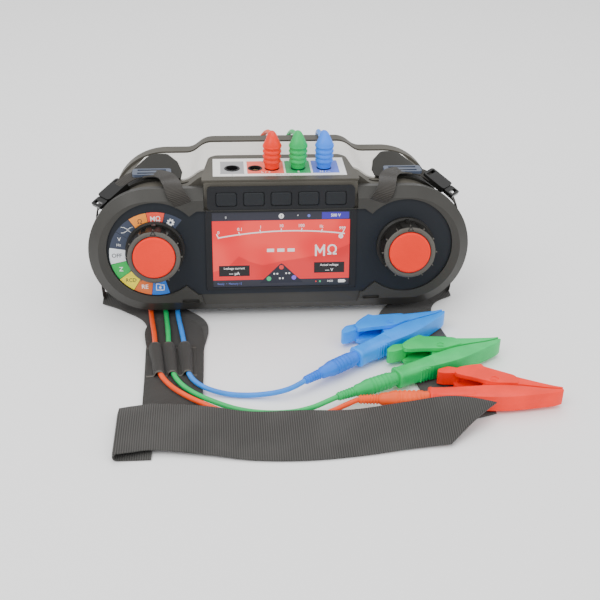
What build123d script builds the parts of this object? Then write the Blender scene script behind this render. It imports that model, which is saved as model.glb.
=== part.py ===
"""Insulation resistance tester with its neck strap and three test leads.

The instrument stands on rubber feet on the plane z = 0. X runs to the right of a person facing the screen,
Y runs from the screen towards the back and Z is up. Lengths are in millimetres, angles in degrees.
"""

from build123d import *
import math
import os

os.makedirs("parts", exist_ok=True)

# ---------------------------------------------------------------- driving dimensions
TILT = 10.35                    # lean of the front face back from the vertical
FACE_Y = -60.0                  # bottom edge of the front face
BASE_Z = 10.0                   # height of the face's bottom edge above the floor
WALL = 3.0                      # wall of the two case shells

CASE_FRONT_Y = -60.0            # section planes that the case is lofted between
CASE_REAR_Y = 66.0
SEAM_Y = 49.0                   # joint between the front shell and the rear cover
END_R = 45.3                    # radius of the rounded ends of the case
END_X_FRONT = 101.5             # centre of the rounded ends, front and rear
END_X_REAR = 92.8
CASE_BOTTOM_Z = BASE_Z + 3.0
HUMP_RISE = 9.4                 # raised middle of the deck above the shoulders
HUMP_HALF_FRONT = 65.0          # half width of the raised middle, front and rear
HUMP_HALF_REAR = 58.0
HUMP_SLOPE = 12.0               # sideways run of the slope down to the shoulder
HUMP_BLEND = 16.0               # radius of the S-shaped blend

NECK_X, NECK_V, NECK_R = 100.5, 49.5, 42.5      # ring of the front shell that carries the bumper
BUMPER_X, BUMPER_V, BUMPER_R = 103.5, 50.0, 50.5
BUMPER_BACK_W = -15.5
BUMPER_FRONT_W = 1.0
GROOVE = 2.5                    # gap between the bumper and the case body
FRONT_WALL_W = -3.0             # outside of the wall behind the fascia

KNOB_U, KNOB_V = 100.4, 52.4    # centres of the two knobs on the face
FASCIA_R = 38.5                 # fascia edge round each knob
FASCIA_TOP_W = -0.8
SCREEN_W, SCREEN_H, SCREEN_V = 110.7, 62.3, 50.7
FRAME_W, FRAME_H = 121.0, 65.6
KEYPAD_HALF, KEYPAD_V0, KEYPAD_V1 = 58.5, 84.0, 102.5
KEY_W, KEY_H, KEY_PITCH, KEY_V = 16.2, 10.5, 21.7, 92.6
KEY_GAP = 0.35

KNOB_SKIRT_R, KNOB_R, KNOB_TOP_W = 23.5, 20.7, 21.0
CAP_R, CAP_TOP_W, CAP_TRAVEL = 16.5, 22.9, 2.0
SHAFT_R, STEM_R, RUN_GAP = 4.0, 2.2, 0.06
SWITCH_SIZE, SWITCH_DEPTH = 36.0, 14.0

PANEL_T = 1.6                   # socket panel
PANEL_FRONT_Y, PANEL_REAR_Y = -36.5, 17.0
PANEL_HALF_FRONT, PANEL_HALF_REAR = 62.5, 56.0
JACK_Y = -13.0
PROBE_X = -38.0
FREE_JACK_X = -19.5
PLUG_X = {"red": -5.8, "green": 15.2, "blue": 36.4}
JACK_R, JACK_BORE_R, CONTACT_R, CONTACT_BORE_R, JACK_DEPTH = 5.8, 4.6, 3.0, 2.0, 20.0

PLATE_T = 1.2                   # ribbed deck label
PAD_T = 2.2                     # shoulder pads
FOOT_X, FOOT_R = 50.0, 8.0
FOOT_Y = (-28.0, 42.0)

WEB_T = 1.5                     # webbing thickness
HOLDER_T = 1.2
CORD_D = 4.0                    # test lead
COIL_R, COIL_TURNS, COIL_PITCH, COIL_Y = 23.0, 4, 4.2, 101.0
COIL_X = {"red": -100.0, "green": -46.0, "blue": 8.0}

CLIP_Z = 9.2                    # height of the clips' mid plane
CLIPS = {                       # rear end of each boot's wide part and the clip's heading
    "red": ((62.5, -189.8), -1.5),
    "green": ((46.3, -178.6), 25.0),
    "blue": ((23.3, -154.4), 35.3),
}
CLIP_PIVOT = (84.0, 13.0)
CLIP_HALF_T = 6.2
TONGUE_HALF_T = 3.2
CHEEK_IN, CHEEK_OUT = 3.6, 7.2
PIN_R = 1.5
BOOT_LEN, RELIEF_LEN = 35.0, 16.0

SIN_T, COS_T = math.sin(math.radians(TILT)), math.cos(math.radians(TILT))
FACE = Plane(origin=(0, FACE_Y, BASE_Z), x_dir=(1, 0, 0), z_dir=(0, -COS_T, SIN_T))
CASE_MID_Z = CASE_BOTTOM_Z + END_R
SHOULDER_Z = CASE_BOTTOM_Z + 2 * END_R
DECK_Z = SHOULDER_Z + HUMP_RISE


# ---------------------------------------------------------------- shared outlines
def yz(v, w):
    """Y and Z of a point given up the face (v) and out of it (w)."""
    return FACE_Y + v * SIN_T - w * COS_T, BASE_Z + v * COS_T + w * SIN_T


def case_section(y, grow=0.0):
    """Cross-section of the case at depth y: rounded ends and a raised middle, grown outwards by grow."""
    share = (y - CASE_FRONT_Y) / (CASE_REAR_Y - CASE_FRONT_Y)
    end_x = END_X_FRONT + share * (END_X_REAR - END_X_FRONT)
    corner_shift = grow * math.tan(0.5 * math.atan2(HUMP_RISE, HUMP_SLOPE))
    top = HUMP_HALF_FRONT + share * (HUMP_HALF_REAR - HUMP_HALF_FRONT) + corner_shift
    foot = top + HUMP_SLOPE
    radius = END_R + grow
    low, high, deck = CASE_MID_Z - radius, CASE_MID_Z + radius, DECK_Z + grow
    with BuildSketch(Plane.XZ.offset(-y)) as section:
        with BuildLine():
            FilletPolyline(
                (end_x, high), (foot, high), (top, deck), (-top, deck), (-foot, high), (-end_x, high),
                radius=(HUMP_BLEND - grow, HUMP_BLEND + grow, HUMP_BLEND + grow, HUMP_BLEND - grow),
            )
            ThreePointArc((end_x, high), (end_x + radius, CASE_MID_Z), (end_x, low))
            Line((end_x, low), (-end_x, low))
            ThreePointArc((-end_x, low), (-end_x - radius, CASE_MID_Z), (-end_x, high))
        make_face()
    return section.sketch


def case_loft(y0, y1, grow=0.0):
    """Solid of the case between two depths."""
    with BuildPart() as body:
        loft([case_section(y0, grow), case_section(y1, grow)], ruled=True)
    return body.part


def deck_skin(thickness, y0, y1):
    """Thin skin lying on the case between two depths."""
    with BuildPart() as skin:
        add(case_loft(y0, y1, thickness))
        add(case_loft(y0 - 1, y1 + 1), mode=Mode.SUBTRACT)
    return skin.part


def fascia_outline(w, grow=0.0):
    """Outline of the fascia: a disc round each knob, joined by a middle band with splayed corners."""
    with BuildSketch(FACE.offset(w)) as outline:
        with Locations((-KNOB_U, KNOB_V), (KNOB_U, KNOB_V)):
            Circle(FASCIA_R + grow)
        with BuildLine():
            Polyline(
                (67 + grow, 14 - grow), (76.5 + grow, 22), (76.5 + grow, 76.8), (67 + grow, 83.5 + grow),
                (-67 - grow, 83.5 + grow), (-76.5 - grow, 76.8), (-76.5 - grow, 22), (-67 - grow, 14 - grow),
                close=True,
            )
        make_face()
    return outline.sketch


def finish(builder, name):
    """Label a finished piece and write it."""
    builder.part.label = name
    export_step(builder.part, f"parts/{name}.step")


# ---------------------------------------------------------------- case
with BuildPart() as nose:       # middle of the deck, carried forward over the keypad
    add(case_loft(CASE_FRONT_Y - 8, SEAM_Y))
    with Locations((0, 0, DECK_Z)):
        Box(2 * 61, 200, 80, mode=Mode.INTERSECT)
    split(bisect_by=FACE.offset(FRONT_WALL_W), keep=Keep.BOTTOM)

with BuildPart() as case_cavity:
    add(case_loft(CASE_FRONT_Y - 8, SEAM_Y + 1, -WALL))
    split(bisect_by=FACE.offset(BUMPER_BACK_W - GROOVE - WALL), keep=Keep.BOTTOM)

with BuildPart() as nose_cavity:
    add(case_loft(CASE_FRONT_Y - 8, SEAM_Y, -WALL))
    with Locations((0, 0, DECK_Z)):
        Box(2 * (61 - WALL), 200, 60, mode=Mode.INTERSECT)
    split(bisect_by=FACE.offset(FRONT_WALL_W - WALL), keep=Keep.BOTTOM)

BOSSES = [(-131.5, CASE_MID_Z), (131.5, CASE_MID_Z), (-80.0, 20.5), (80.0, 20.5), (-86.0, 96.0), (86.0, 96.0)]
BOSS_R, SCREW_R, SCREW_LEN = 6.0, 1.5, 16.0
REAR_GROW = 2.0                 # the rear cover stands proud of the deck as a rim
GASKET_T = 1.0
REAR_Y = SEAM_Y + GASKET_T

with BuildPart() as front_case:
    add(case_loft(CASE_FRONT_Y - 8, SEAM_Y))
    split(bisect_by=FACE.offset(BUMPER_BACK_W - GROOVE), keep=Keep.BOTTOM)
    with BuildSketch(FACE.offset(BUMPER_BACK_W - GROOVE - 4)) as neck_outline:
        with Locations((0, NECK_V)):
            SlotCenterToCenter(2 * NECK_X, 2 * NECK_R)
    extrude(amount=FRONT_WALL_W - (BUMPER_BACK_W - GROOVE - 4))
    add(nose.part)
    add(case_cavity.part, mode=Mode.SUBTRACT)
    add(nose_cavity.part, mode=Mode.SUBTRACT)
    with BuildSketch(FACE.offset(FRONT_WALL_W - WALL)) as neck_cavity:
        with Locations((0, NECK_V)):
            SlotCenterToCenter(2 * NECK_X, 2 * (NECK_R - WALL))
    extrude(amount=-24, mode=Mode.SUBTRACT)
    with BuildSketch(FACE.offset(FRONT_WALL_W)) as front_openings:
        with Locations((0, SCREEN_V)):
            Rectangle(FRAME_W - 6, FRAME_H - 4)
        with Locations((0, KEY_V)):
            Rectangle(2 * KEYPAD_HALF - 8, KEY_H + 4)
        with Locations((-KNOB_U, KNOB_V), (KNOB_U, KNOB_V)):
            Circle(SHAFT_R + 2)
    extrude(amount=-WALL, mode=Mode.SUBTRACT)
    with Locations((0, JACK_Y, DECK_Z)):
        Box(96, 17, 4 * WALL, mode=Mode.SUBTRACT)       # opening under the socket panel
    with BuildSketch(Plane.XY.offset(SHOULDER_Z - 8)) as strap_slots:
        with Locations((-84, -16), (84, -16)):
            SlotOverall(22, 3)
    extrude(amount=12, mode=Mode.SUBTRACT)
    with BuildSketch(Plane.XZ.offset(-SEAM_Y)) as bosses:
        with Locations(*BOSSES):
            Circle(BOSS_R)
    extrude(amount=25)
    add(case_loft(CASE_FRONT_Y, SEAM_Y), mode=Mode.INTERSECT)
    with BuildSketch(Plane.XZ.offset(-SEAM_Y)) as pilots:
        with Locations(*BOSSES):
            Circle(SCREW_R + 0.05)
    extrude(amount=SCREW_LEN, mode=Mode.SUBTRACT)
finish(front_case, "front_case")

with BuildPart() as rear_case:
    loft([case_section(REAR_Y, REAR_GROW), case_section(CASE_REAR_Y, REAR_GROW)], ruled=True)
    chamfer(rear_case.faces().sort_by(Axis.Y)[-1].edges(), length=4)
    add(case_loft(REAR_Y - 1, CASE_REAR_Y - WALL, -WALL), mode=Mode.SUBTRACT)
    with BuildSketch(Plane.XZ.offset(-CASE_REAR_Y + 0.5)) as rear_bosses:
        with Locations(*BOSSES):
            Circle(BOSS_R)
    extrude(amount=CASE_REAR_Y - 0.5 - REAR_Y)
    with BuildSketch(Plane.XZ.offset(-CASE_REAR_Y - 1)) as screw_holes:
        with Locations(*BOSSES):
            Circle(SCREW_R + 0.2)
    extrude(amount=CASE_REAR_Y + 2 - REAR_Y, mode=Mode.SUBTRACT)
    with BuildSketch(Plane.XZ.offset(-CASE_REAR_Y - 1)) as screw_counterbores:
        with Locations(*BOSSES):
            Circle(3.4)
    extrude(amount=5, mode=Mode.SUBTRACT)
    add(case_loft(REAR_Y, CASE_REAR_Y, REAR_GROW), mode=Mode.INTERSECT)
finish(rear_case, "rear_case")

with BuildPart() as case_gasket:
    add(case_loft(SEAM_Y, REAR_Y, -0.3))
    add(case_loft(SEAM_Y - 1, REAR_Y + 1, -2.6), mode=Mode.SUBTRACT)
finish(case_gasket, "case_gasket")

with BuildPart() as case_screws:
    SEAT_Y = CASE_REAR_Y - 4
    with BuildSketch(Plane.XZ.offset(-SEAT_Y - 2.4)) as screw_heads:
        with Locations(*BOSSES):
            Circle(3.0)
    extrude(amount=2.4)
    with BuildSketch(Plane.XZ.offset(-SEAT_Y)) as screw_shanks:
        with Locations(*BOSSES):
            Circle(SCREW_R)
    extrude(amount=SEAT_Y - SEAM_Y + SCREW_LEN - 2)
    with BuildSketch(Plane.XZ.offset(-SEAT_Y - 2.4)) as screw_sockets:
        with Locations(*BOSSES):
            RegularPolygon(1.3, 6)
    extrude(amount=1.4, mode=Mode.SUBTRACT)
finish(case_screws, "case_screws")

# ---------------------------------------------------------------- front bumper and fascia
with BuildPart() as front_bumper:
    with BuildSketch(FACE.offset(BUMPER_BACK_W)) as bumper_outline:
        with Locations((0, BUMPER_V)):
            SlotCenterToCenter(2 * BUMPER_X, 2 * BUMPER_R)
    extrude(amount=BUMPER_FRONT_W - BUMPER_BACK_W)
    front_edges = front_bumper.faces().sort_by(Axis((0, 0, 0), FACE.z_dir))[-1].edges()
    chamfer(front_edges, length=7.5, length2=8.5)
    with BuildSketch(FACE.offset(BUMPER_BACK_W)) as neck_hole:
        with Locations((0, NECK_V)):
            SlotCenterToCenter(2 * NECK_X, 2 * NECK_R)
    extrude(amount=FRONT_WALL_W - BUMPER_BACK_W, mode=Mode.SUBTRACT)
    extrude(fascia_outline(FRONT_WALL_W), amount=8, mode=Mode.SUBTRACT)
    with BuildSketch(FACE.offset(BUMPER_BACK_W)) as nose_gap:
        with Locations((0, KEYPAD_V0 + 20)):
            Rectangle(2 * 61.3, 40)
    extrude(amount=30, mode=Mode.SUBTRACT)
    with BuildSketch(FACE.offset(-1.5)) as bar_recess:
        with BuildLine():
            Polyline((-66, 18), (66, 18), (60, -4), (-60, -4), close=True)
        make_face()
    extrude(amount=6, mode=Mode.SUBTRACT)
    with BuildSketch(FACE.offset(BUMPER_FRONT_W)) as strap_holes:
        with Locations((-73.5, 9.2), (73.5, 9.2)):
            SlotOverall(14, 3)
    extrude(amount=-3, mode=Mode.SUBTRACT)
finish(front_bumper, "front_bumper")

with BuildPart() as fascia_panel:
    extrude(fascia_outline(FRONT_WALL_W, -0.2), amount=FASCIA_TOP_W - FRONT_WALL_W)
    with BuildSketch(FACE.offset(FRONT_WALL_W)) as fascia_holes:
        with Locations((0, SCREEN_V)):
            Rectangle(FRAME_W, FRAME_H)
        with Locations((-KNOB_U, KNOB_V), (KNOB_U, KNOB_V)):
            Circle(SHAFT_R + 2)
    extrude(amount=6, mode=Mode.SUBTRACT)
finish(fascia_panel, "fascia_panel")

with BuildPart() as screen_frame:
    with BuildSketch(FACE.offset(FRONT_WALL_W)) as frame_outline:
        with Locations((0, SCREEN_V)):
            RectangleRounded(FRAME_W - 0.2, FRAME_H - 0.2, 2)
            Rectangle(SCREEN_W, SCREEN_H, mode=Mode.SUBTRACT)
    extrude(amount=0.2 - FRONT_WALL_W)
finish(screen_frame, "screen_frame")

with BuildPart() as display_window:
    with BuildSketch(FACE.offset(-2.0)) as window_outline:
        with Locations((0, SCREEN_V)):
            Rectangle(SCREEN_W - 0.2, SCREEN_H - 0.2)
    extrude(amount=1.2)
finish(display_window, "display_window")

with BuildPart() as display_module:
    with BuildSketch(FACE.offset(FRONT_WALL_W - 6)) as module_outline:
        with Locations((0, SCREEN_V)):
            Rectangle(FRAME_W - 7, FRAME_H - 5)
    extrude(amount=6)
    with BuildSketch(FACE.offset(FRONT_WALL_W)) as panel_outline:
        with Locations((0, SCREEN_V)):
            Rectangle(SCREEN_W - 1, SCREEN_H - 1)
    extrude(amount=0.8)
finish(display_module, "display_module")

# ---------------------------------------------------------------- keypad
KEY_US = [(i - 2) * KEY_PITCH for i in range(5)]
KEYPAD_TOP_W = 0.5

with BuildPart() as keypad_frame:
    with BuildSketch(FACE.offset(FRONT_WALL_W)) as keypad_outline:
        with Locations((0, 0.5 * (KEYPAD_V0 + KEYPAD_V1))):
            RectangleRounded(2 * KEYPAD_HALF, KEYPAD_V1 - KEYPAD_V0, 3)
        with Locations(*[(u, KEY_V) for u in KEY_US]):
            RectangleRounded(KEY_W + 2 * KEY_GAP, KEY_H + 2 * KEY_GAP, 2, mode=Mode.SUBTRACT)
    extrude(amount=KEYPAD_TOP_W - FRONT_WALL_W)
finish(keypad_frame, "keypad_frame")

for number, key_u in enumerate(KEY_US, start=1):
    with BuildPart() as key:
        with BuildSketch(FACE.offset(FRONT_WALL_W - 1.6)) as key_outline:
            with Locations((key_u, KEY_V)):
                RectangleRounded(KEY_W, KEY_H, 2)
        extrude(amount=1.6 - FRONT_WALL_W + 1.4)
        chamfer(key.faces().sort_by(Axis((0, 0, 0), FACE.z_dir))[-1].edges(), length=0.7)
        with BuildSketch(FACE.offset(FRONT_WALL_W - 1.6)) as key_flange:
            with Locations((key_u, KEY_V)):
                Rectangle(KEY_W + 2, KEY_H + 2)
        extrude(amount=1.3)
    finish(key, f"key_{number}")

# ---------------------------------------------------------------- knobs, test buttons and switches
FLUTES = 8
CUP_FLOOR_W = CAP_TOP_W - 8.4
SWITCH_BACK_W = FRONT_WALL_W - WALL - 0.2 - SWITCH_DEPTH

for side, sign in (("left", -1), ("right", 1)):
    with BuildPart() as knob:
        with BuildSketch(FACE.offset(FASCIA_TOP_W + 0.4)) as knob_skirt:
            with Locations((sign * KNOB_U, KNOB_V)):
                Circle(KNOB_SKIRT_R)
        extrude(amount=4)
        chamfer(knob.faces().sort_by(Axis((0, 0, 0), FACE.z_dir))[-1].edges(), length=1.5)
        with BuildSketch(FACE.offset(FASCIA_TOP_W + 3)) as knob_body:
            with Locations((sign * KNOB_U, KNOB_V)):
                Circle(KNOB_R)
                with PolarLocations(KNOB_R + 0.6, FLUTES, start_angle=22.5):
                    Circle(2.0, mode=Mode.SUBTRACT)
        extrude(amount=KNOB_TOP_W - FASCIA_TOP_W - 3)
        with BuildSketch(FACE.offset(FASCIA_TOP_W + 3)) as pointer:
            with Locations((sign * KNOB_U, KNOB_V + KNOB_R - 0.5)):
                Rectangle(3.2, 5)
        extrude(amount=8)
        with BuildSketch(FACE.offset(SWITCH_BACK_W + 2)) as shaft:
            with Locations((sign * KNOB_U, KNOB_V)):
                Circle(SHAFT_R)
        extrude(amount=FASCIA_TOP_W + 3 - SWITCH_BACK_W)
        with BuildSketch(FACE.offset(CUP_FLOOR_W)) as cup:
            with Locations((sign * KNOB_U, KNOB_V)):
                Circle(CAP_R + 0.35)
        extrude(amount=20, mode=Mode.SUBTRACT)
        with BuildSketch(FACE.offset(SWITCH_BACK_W)) as stem_bore:
            with Locations((sign * KNOB_U, KNOB_V)):
                Circle(STEM_R + RUN_GAP)
        extrude(amount=60, mode=Mode.SUBTRACT)
    finish(knob, f"{side}_knob")

    with BuildPart() as test_button:
        with BuildSketch(FACE.offset(CUP_FLOOR_W + CAP_TRAVEL + 0.4)) as cap:
            with Locations((sign * KNOB_U, KNOB_V)):
                Circle(CAP_R)
        extrude(amount=CAP_TOP_W - CUP_FLOOR_W - CAP_TRAVEL - 0.4)
        fillet(test_button.faces().sort_by(Axis((0, 0, 0), FACE.z_dir))[-1].edges(), radius=1.6)
        with BuildSketch(FACE.offset(SWITCH_BACK_W + 6)) as stem:
            with Locations((sign * KNOB_U, KNOB_V)):
                Circle(STEM_R)
        extrude(amount=CUP_FLOOR_W + CAP_TRAVEL + 1 - SWITCH_BACK_W - 6)
    finish(test_button, f"{side}_test_button")

with BuildPart() as rotary_switches:
    with BuildSketch(FACE.offset(SWITCH_BACK_W)) as switch_bodies:
        with Locations((-KNOB_U, KNOB_V), (KNOB_U, KNOB_V)):
            Rectangle(SWITCH_SIZE, SWITCH_SIZE)
            Circle(SHAFT_R + RUN_GAP, mode=Mode.SUBTRACT)
    extrude(amount=SWITCH_DEPTH)
finish(rotary_switches, "rotary_switches")

with BuildPart() as main_board:
    with BuildSketch(FACE.offset(SWITCH_BACK_W - 1.6)) as board_outline:
        with Locations((0, KNOB_V)):
            RectangleRounded(2 * KNOB_U + SWITCH_SIZE, 64, 4)
    extrude(amount=1.6)
    with BuildSketch(FACE.offset(SWITCH_BACK_W)) as board_parts:
        with Locations((0, KNOB_V), (-48, KNOB_V + 12), (45, KNOB_V - 14)):
            Rectangle(22, 22)
        with Locations((28, KNOB_V + 16), (-30, KNOB_V - 18)):
            Rectangle(12, 16)
    extrude(amount=3)
finish(main_board, "main_board")

with BuildPart() as high_voltage_transformer:
    with BuildSketch(FACE.offset(SWITCH_BACK_W - 1.6)) as core_outline:
        with Locations((66, KNOB_V)):
            Rectangle(30, 26)
    extrude(amount=-16)
    with BuildSketch(FACE.offset(SWITCH_BACK_W - 1.6)) as winding_outline:
        with Locations((66, KNOB_V)):
            RectangleRounded(22, 34, 4)
    extrude(amount=-12)
finish(high_voltage_transformer, "high_voltage_transformer")

BATTERY_R, BATTERY_LEN = 7.2, 50.0
TRAY_Z = CASE_BOTTOM_Z + WALL
with BuildPart() as battery_pack:
    with Locations((0, 24, TRAY_Z + 1)):
        Box(112, 36, 2)
    with BuildSketch(Plane.YZ.offset(-BATTERY_LEN - 1)) as cells:
        with Locations((24 - 8.5, TRAY_Z + 2 + BATTERY_R), (24 + 8.5, TRAY_Z + 2 + BATTERY_R)):
            Circle(BATTERY_R)
    extrude(amount=BATTERY_LEN)
    with BuildSketch(Plane.YZ.offset(1)) as more_cells:
        with Locations((24 - 8.5, TRAY_Z + 2 + BATTERY_R), (24 + 8.5, TRAY_Z + 2 + BATTERY_R)):
            Circle(BATTERY_R)
    extrude(amount=BATTERY_LEN)
finish(battery_pack, "battery_pack")

# ---------------------------------------------------------------- deck: label, pads, socket panel and jacks
PAD_PLAN = [(80, -11), (131, -11), (130, 0), (121, 26), (107, 47), (92, 44), (83, 26), (79, 5)]
PLATE_FRONT_Y = -10.0


def pad_plan(grow=0.0):
    """Plan outline of both shoulder pads."""
    with BuildSketch() as plan:
        for sign in (-1, 1):
            with BuildLine():
                Polyline(*[(sign * x, y) for x, y in PAD_PLAN], close=True)
            make_face()
        fillet(plan.vertices(), radius=3.5)
        if grow:
            offset(amount=grow)
    return plan.sketch


def panel_plan(grow=0.0):
    """Plan outline of the socket panel, wide at the front with rounded rear corners."""
    with BuildSketch() as plan:
        with BuildLine():
            FilletPolyline(
                (0, PANEL_FRONT_Y - grow), (PANEL_HALF_FRONT + grow, PANEL_FRONT_Y - grow),
                (PANEL_HALF_FRONT + grow, PANEL_FRONT_Y + 8), (PANEL_HALF_REAR + grow, PANEL_REAR_Y + grow),
                (0, PANEL_REAR_Y + grow), radius=(1.0, 2.0, 9.0),
            )
            mirror(about=Plane.YZ)
        make_face()
    return plan.sketch


with BuildPart() as top_label:
    add(deck_skin(PLATE_T, PLATE_FRONT_Y, SEAM_Y - 0.5))
    with BuildSketch() as label_plan:
        with BuildLine():
            Polyline((-79, PLATE_FRONT_Y), (79, PLATE_FRONT_Y), (79, -9), (126, 6), (124, 22), (113, 46),
                     (108, 60), (-108, 60), (-113, 46), (-124, 22), (-126, 6), (-79, -9), close=True)
        make_face()
    extrude(amount=200, mode=Mode.INTERSECT)
    split(bisect_by=Plane.XY.offset(SHOULDER_Z - 60), keep=Keep.TOP)
    extrude(panel_plan(0.5), amount=200, mode=Mode.SUBTRACT)
    extrude(pad_plan(0.4), amount=200, mode=Mode.SUBTRACT)
finish(top_label, "top_label")

with BuildPart() as shoulder_pads:
    add(deck_skin(PAD_T, CASE_FRONT_Y + 30, SEAM_Y - 1))
    extrude(pad_plan(), amount=200, mode=Mode.INTERSECT)
    split(bisect_by=Plane.XY.offset(SHOULDER_Z - 60), keep=Keep.TOP)
finish(shoulder_pads, "shoulder_pads")

JACK_XS = [FREE_JACK_X, *PLUG_X.values()]
PANEL_TOP_Z = DECK_Z + PANEL_T

with BuildPart() as socket_panel:
    with BuildSketch(Plane.XY.offset(DECK_Z)) as panel_outline:
        add(panel_plan())
        with Locations(*[(x, JACK_Y) for x in JACK_XS]):
            Circle(JACK_R, mode=Mode.SUBTRACT)
        with Locations((PROBE_X, JACK_Y)):
            Circle(6.2, mode=Mode.SUBTRACT)
    extrude(amount=PANEL_T)
finish(socket_panel, "socket_panel")

with BuildPart() as jack_housings:
    with BuildSketch(Plane.XY.offset(PANEL_TOP_Z - JACK_DEPTH - 4)) as housing_outline:
        with Locations(*[(x, JACK_Y) for x in JACK_XS]):
            Circle(JACK_R)
            Circle(CONTACT_R, mode=Mode.SUBTRACT)
    extrude(amount=JACK_DEPTH + 4.4)
    with BuildSketch(Plane.XY.offset(PANEL_TOP_Z - JACK_DEPTH)) as shroud_wells:
        with Locations(*[(x, JACK_Y) for x in JACK_XS]):
            Circle(JACK_BORE_R)
    extrude(amount=JACK_DEPTH + 4, mode=Mode.SUBTRACT)
finish(jack_housings, "jack_housings")

with BuildPart() as jack_contacts:
    with BuildSketch(Plane.XY.offset(PANEL_TOP_Z - JACK_DEPTH - 4)) as contact_outline:
        with Locations(*[(x, JACK_Y) for x in JACK_XS]):
            Circle(CONTACT_R)
    extrude(amount=JACK_DEPTH + 2)
    with BuildSketch(Plane.XY.offset(PANEL_TOP_Z - JACK_DEPTH - 1)) as contact_bores:
        with Locations(*[(x, JACK_Y) for x in JACK_XS]):
            Circle(CONTACT_BORE_R)
    extrude(amount=JACK_DEPTH + 2, mode=Mode.SUBTRACT)
finish(jack_contacts, "jack_contacts")

with BuildPart() as probe_socket:
    with BuildSketch(Plane.XY.offset(PANEL_TOP_Z - 14)) as probe_outline:
        with Locations((PROBE_X, JACK_Y)):
            Circle(6.2)
    extrude(amount=14.6)
    with BuildSketch(Plane.XY.offset(PANEL_TOP_Z - 8)) as probe_well:
        with Locations((PROBE_X, JACK_Y)):
            Circle(4.8)
            with PolarLocations(2.6, 4):
                Circle(0.6, mode=Mode.SUBTRACT)
    extrude(amount=12, mode=Mode.SUBTRACT)
    with BuildSketch(Plane.XY.offset(PANEL_TOP_Z - 2)) as pin_tops:
        with Locations((PROBE_X, JACK_Y)):
            Circle(4.8)
    extrude(amount=6, mode=Mode.SUBTRACT)
finish(probe_socket, "probe_socket")

with BuildPart() as feet:
    with BuildSketch() as foot_outline:
        with Locations(*[(x, y) for x in (-FOOT_X, FOOT_X) for y in FOOT_Y]):
            Circle(FOOT_R)
        RectangleRounded(56, 40, 6)
    extrude(amount=CASE_BOTTOM_Z)
finish(feet, "feet")

# ---------------------------------------------------------------- shoulder webbing, sliders and buckles
LOOP_X0, LOOP_X1 = 73.5, 92.5
LOOP_PATH = [
    yz(77.5, 0.9), yz(80, 2.0), yz(93.6, 2.3), yz(103.0, -7.0), yz(104.0, -14.5), (-20, 107.6),
]
SLIDER_AT = (103.0, -3.5, 108.0)
SLIDER_L, SLIDER_B, SLIDER_T = 31.0, 13.0, 2.4
BUCKLE_AT = {-1: (-133.5, -14.0, 97.4), 1: (131.0, -11.5, 101.6)}
BUCKLE_DIR = (30.0, -27.0, -18.0)
RISER_X, RISER_Y0, RISER_Y1 = 147.5, -28.0, -8.0

with BuildPart() as strap_loops:
    for sign in (-1, 1):
        with BuildSketch(Plane.YZ.offset(sign * 0.5 * (LOOP_X0 + LOOP_X1))) as loop_profile:
            with BuildLine() as loop_line:
                Polyline(*LOOP_PATH)
            trace(line_width=WEB_T)
        extrude(amount=0.5 * (LOOP_X1 - LOOP_X0), both=True)
        with BuildSketch(Plane.XY.offset(LOOP_PATH[-1][1] - 0.5 * WEB_T)) as loop_tail:
            with BuildLine():
                Polyline((sign * LOOP_X0, -21.5), (sign * LOOP_X1, -21.5), (sign * 110, -10.4),
                         (sign * 91, -10.4), close=True)
            make_face()
        extrude(amount=WEB_T)
finish(strap_loops, "strap_loops")

with BuildPart() as strap_sliders:
    with BuildSketch(Plane.XY.offset(SLIDER_AT[2] - 0.5 * SLIDER_T)) as slider_outline:
        for sign in (-1, 1):
            with Locations((sign * SLIDER_AT[0], SLIDER_AT[1])):
                RectangleRounded(SLIDER_L, SLIDER_B, 2.5)
                with Locations((0, -3.1), (0, 3.1)):
                    Rectangle(SLIDER_L - 8, 2.6, mode=Mode.SUBTRACT)
    extrude(amount=SLIDER_T)
finish(strap_sliders, "strap_sliders")


def buckle_plane(sign):
    """Plane of a side buckle: x runs along the strap, down over the shoulder."""
    along = Vector(sign * BUCKLE_DIR[0], BUCKLE_DIR[1], BUCKLE_DIR[2]).normalized()
    across = Vector(0, 0, 1).cross(along).normalized()
    return Plane(origin=BUCKLE_AT[sign], x_dir=along, z_dir=along.cross(across))


with BuildPart() as strap_buckles:
    for sign in (-1, 1):
        with BuildSketch(buckle_plane(sign).offset(-2.3)) as buckle_body:
            RectangleRounded(22, 15, 2.5)
            with Locations((-7.5, 0)):
                Rectangle(2.6, 10.5, mode=Mode.SUBTRACT)
        extrude(amount=4.6)
        with BuildSketch(buckle_plane(sign).offset(-1.3)) as buckle_tongue:
            with Locations((15.6, 0)):
                RectangleRounded(9, 12, 1.5)
            with Locations((16.6, 0)):
                Rectangle(2.6, 8.5, mode=Mode.SUBTRACT)
        extrude(amount=2.6)
finish(strap_buckles, "strap_buckles")

with BuildPart() as strap_risers:
    for sign in (-1, 1):
        with BuildSketch(Plane.XZ.offset(-RISER_Y1)) as riser_profile:
            with BuildLine():
                Polyline((sign * 144.5, 88.0), (sign * RISER_X, 83.0), (sign * RISER_X, WEB_T + 0.1))
            trace(line_width=WEB_T)
        extrude(amount=RISER_Y1 - RISER_Y0)
finish(strap_risers, "strap_risers")

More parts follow.
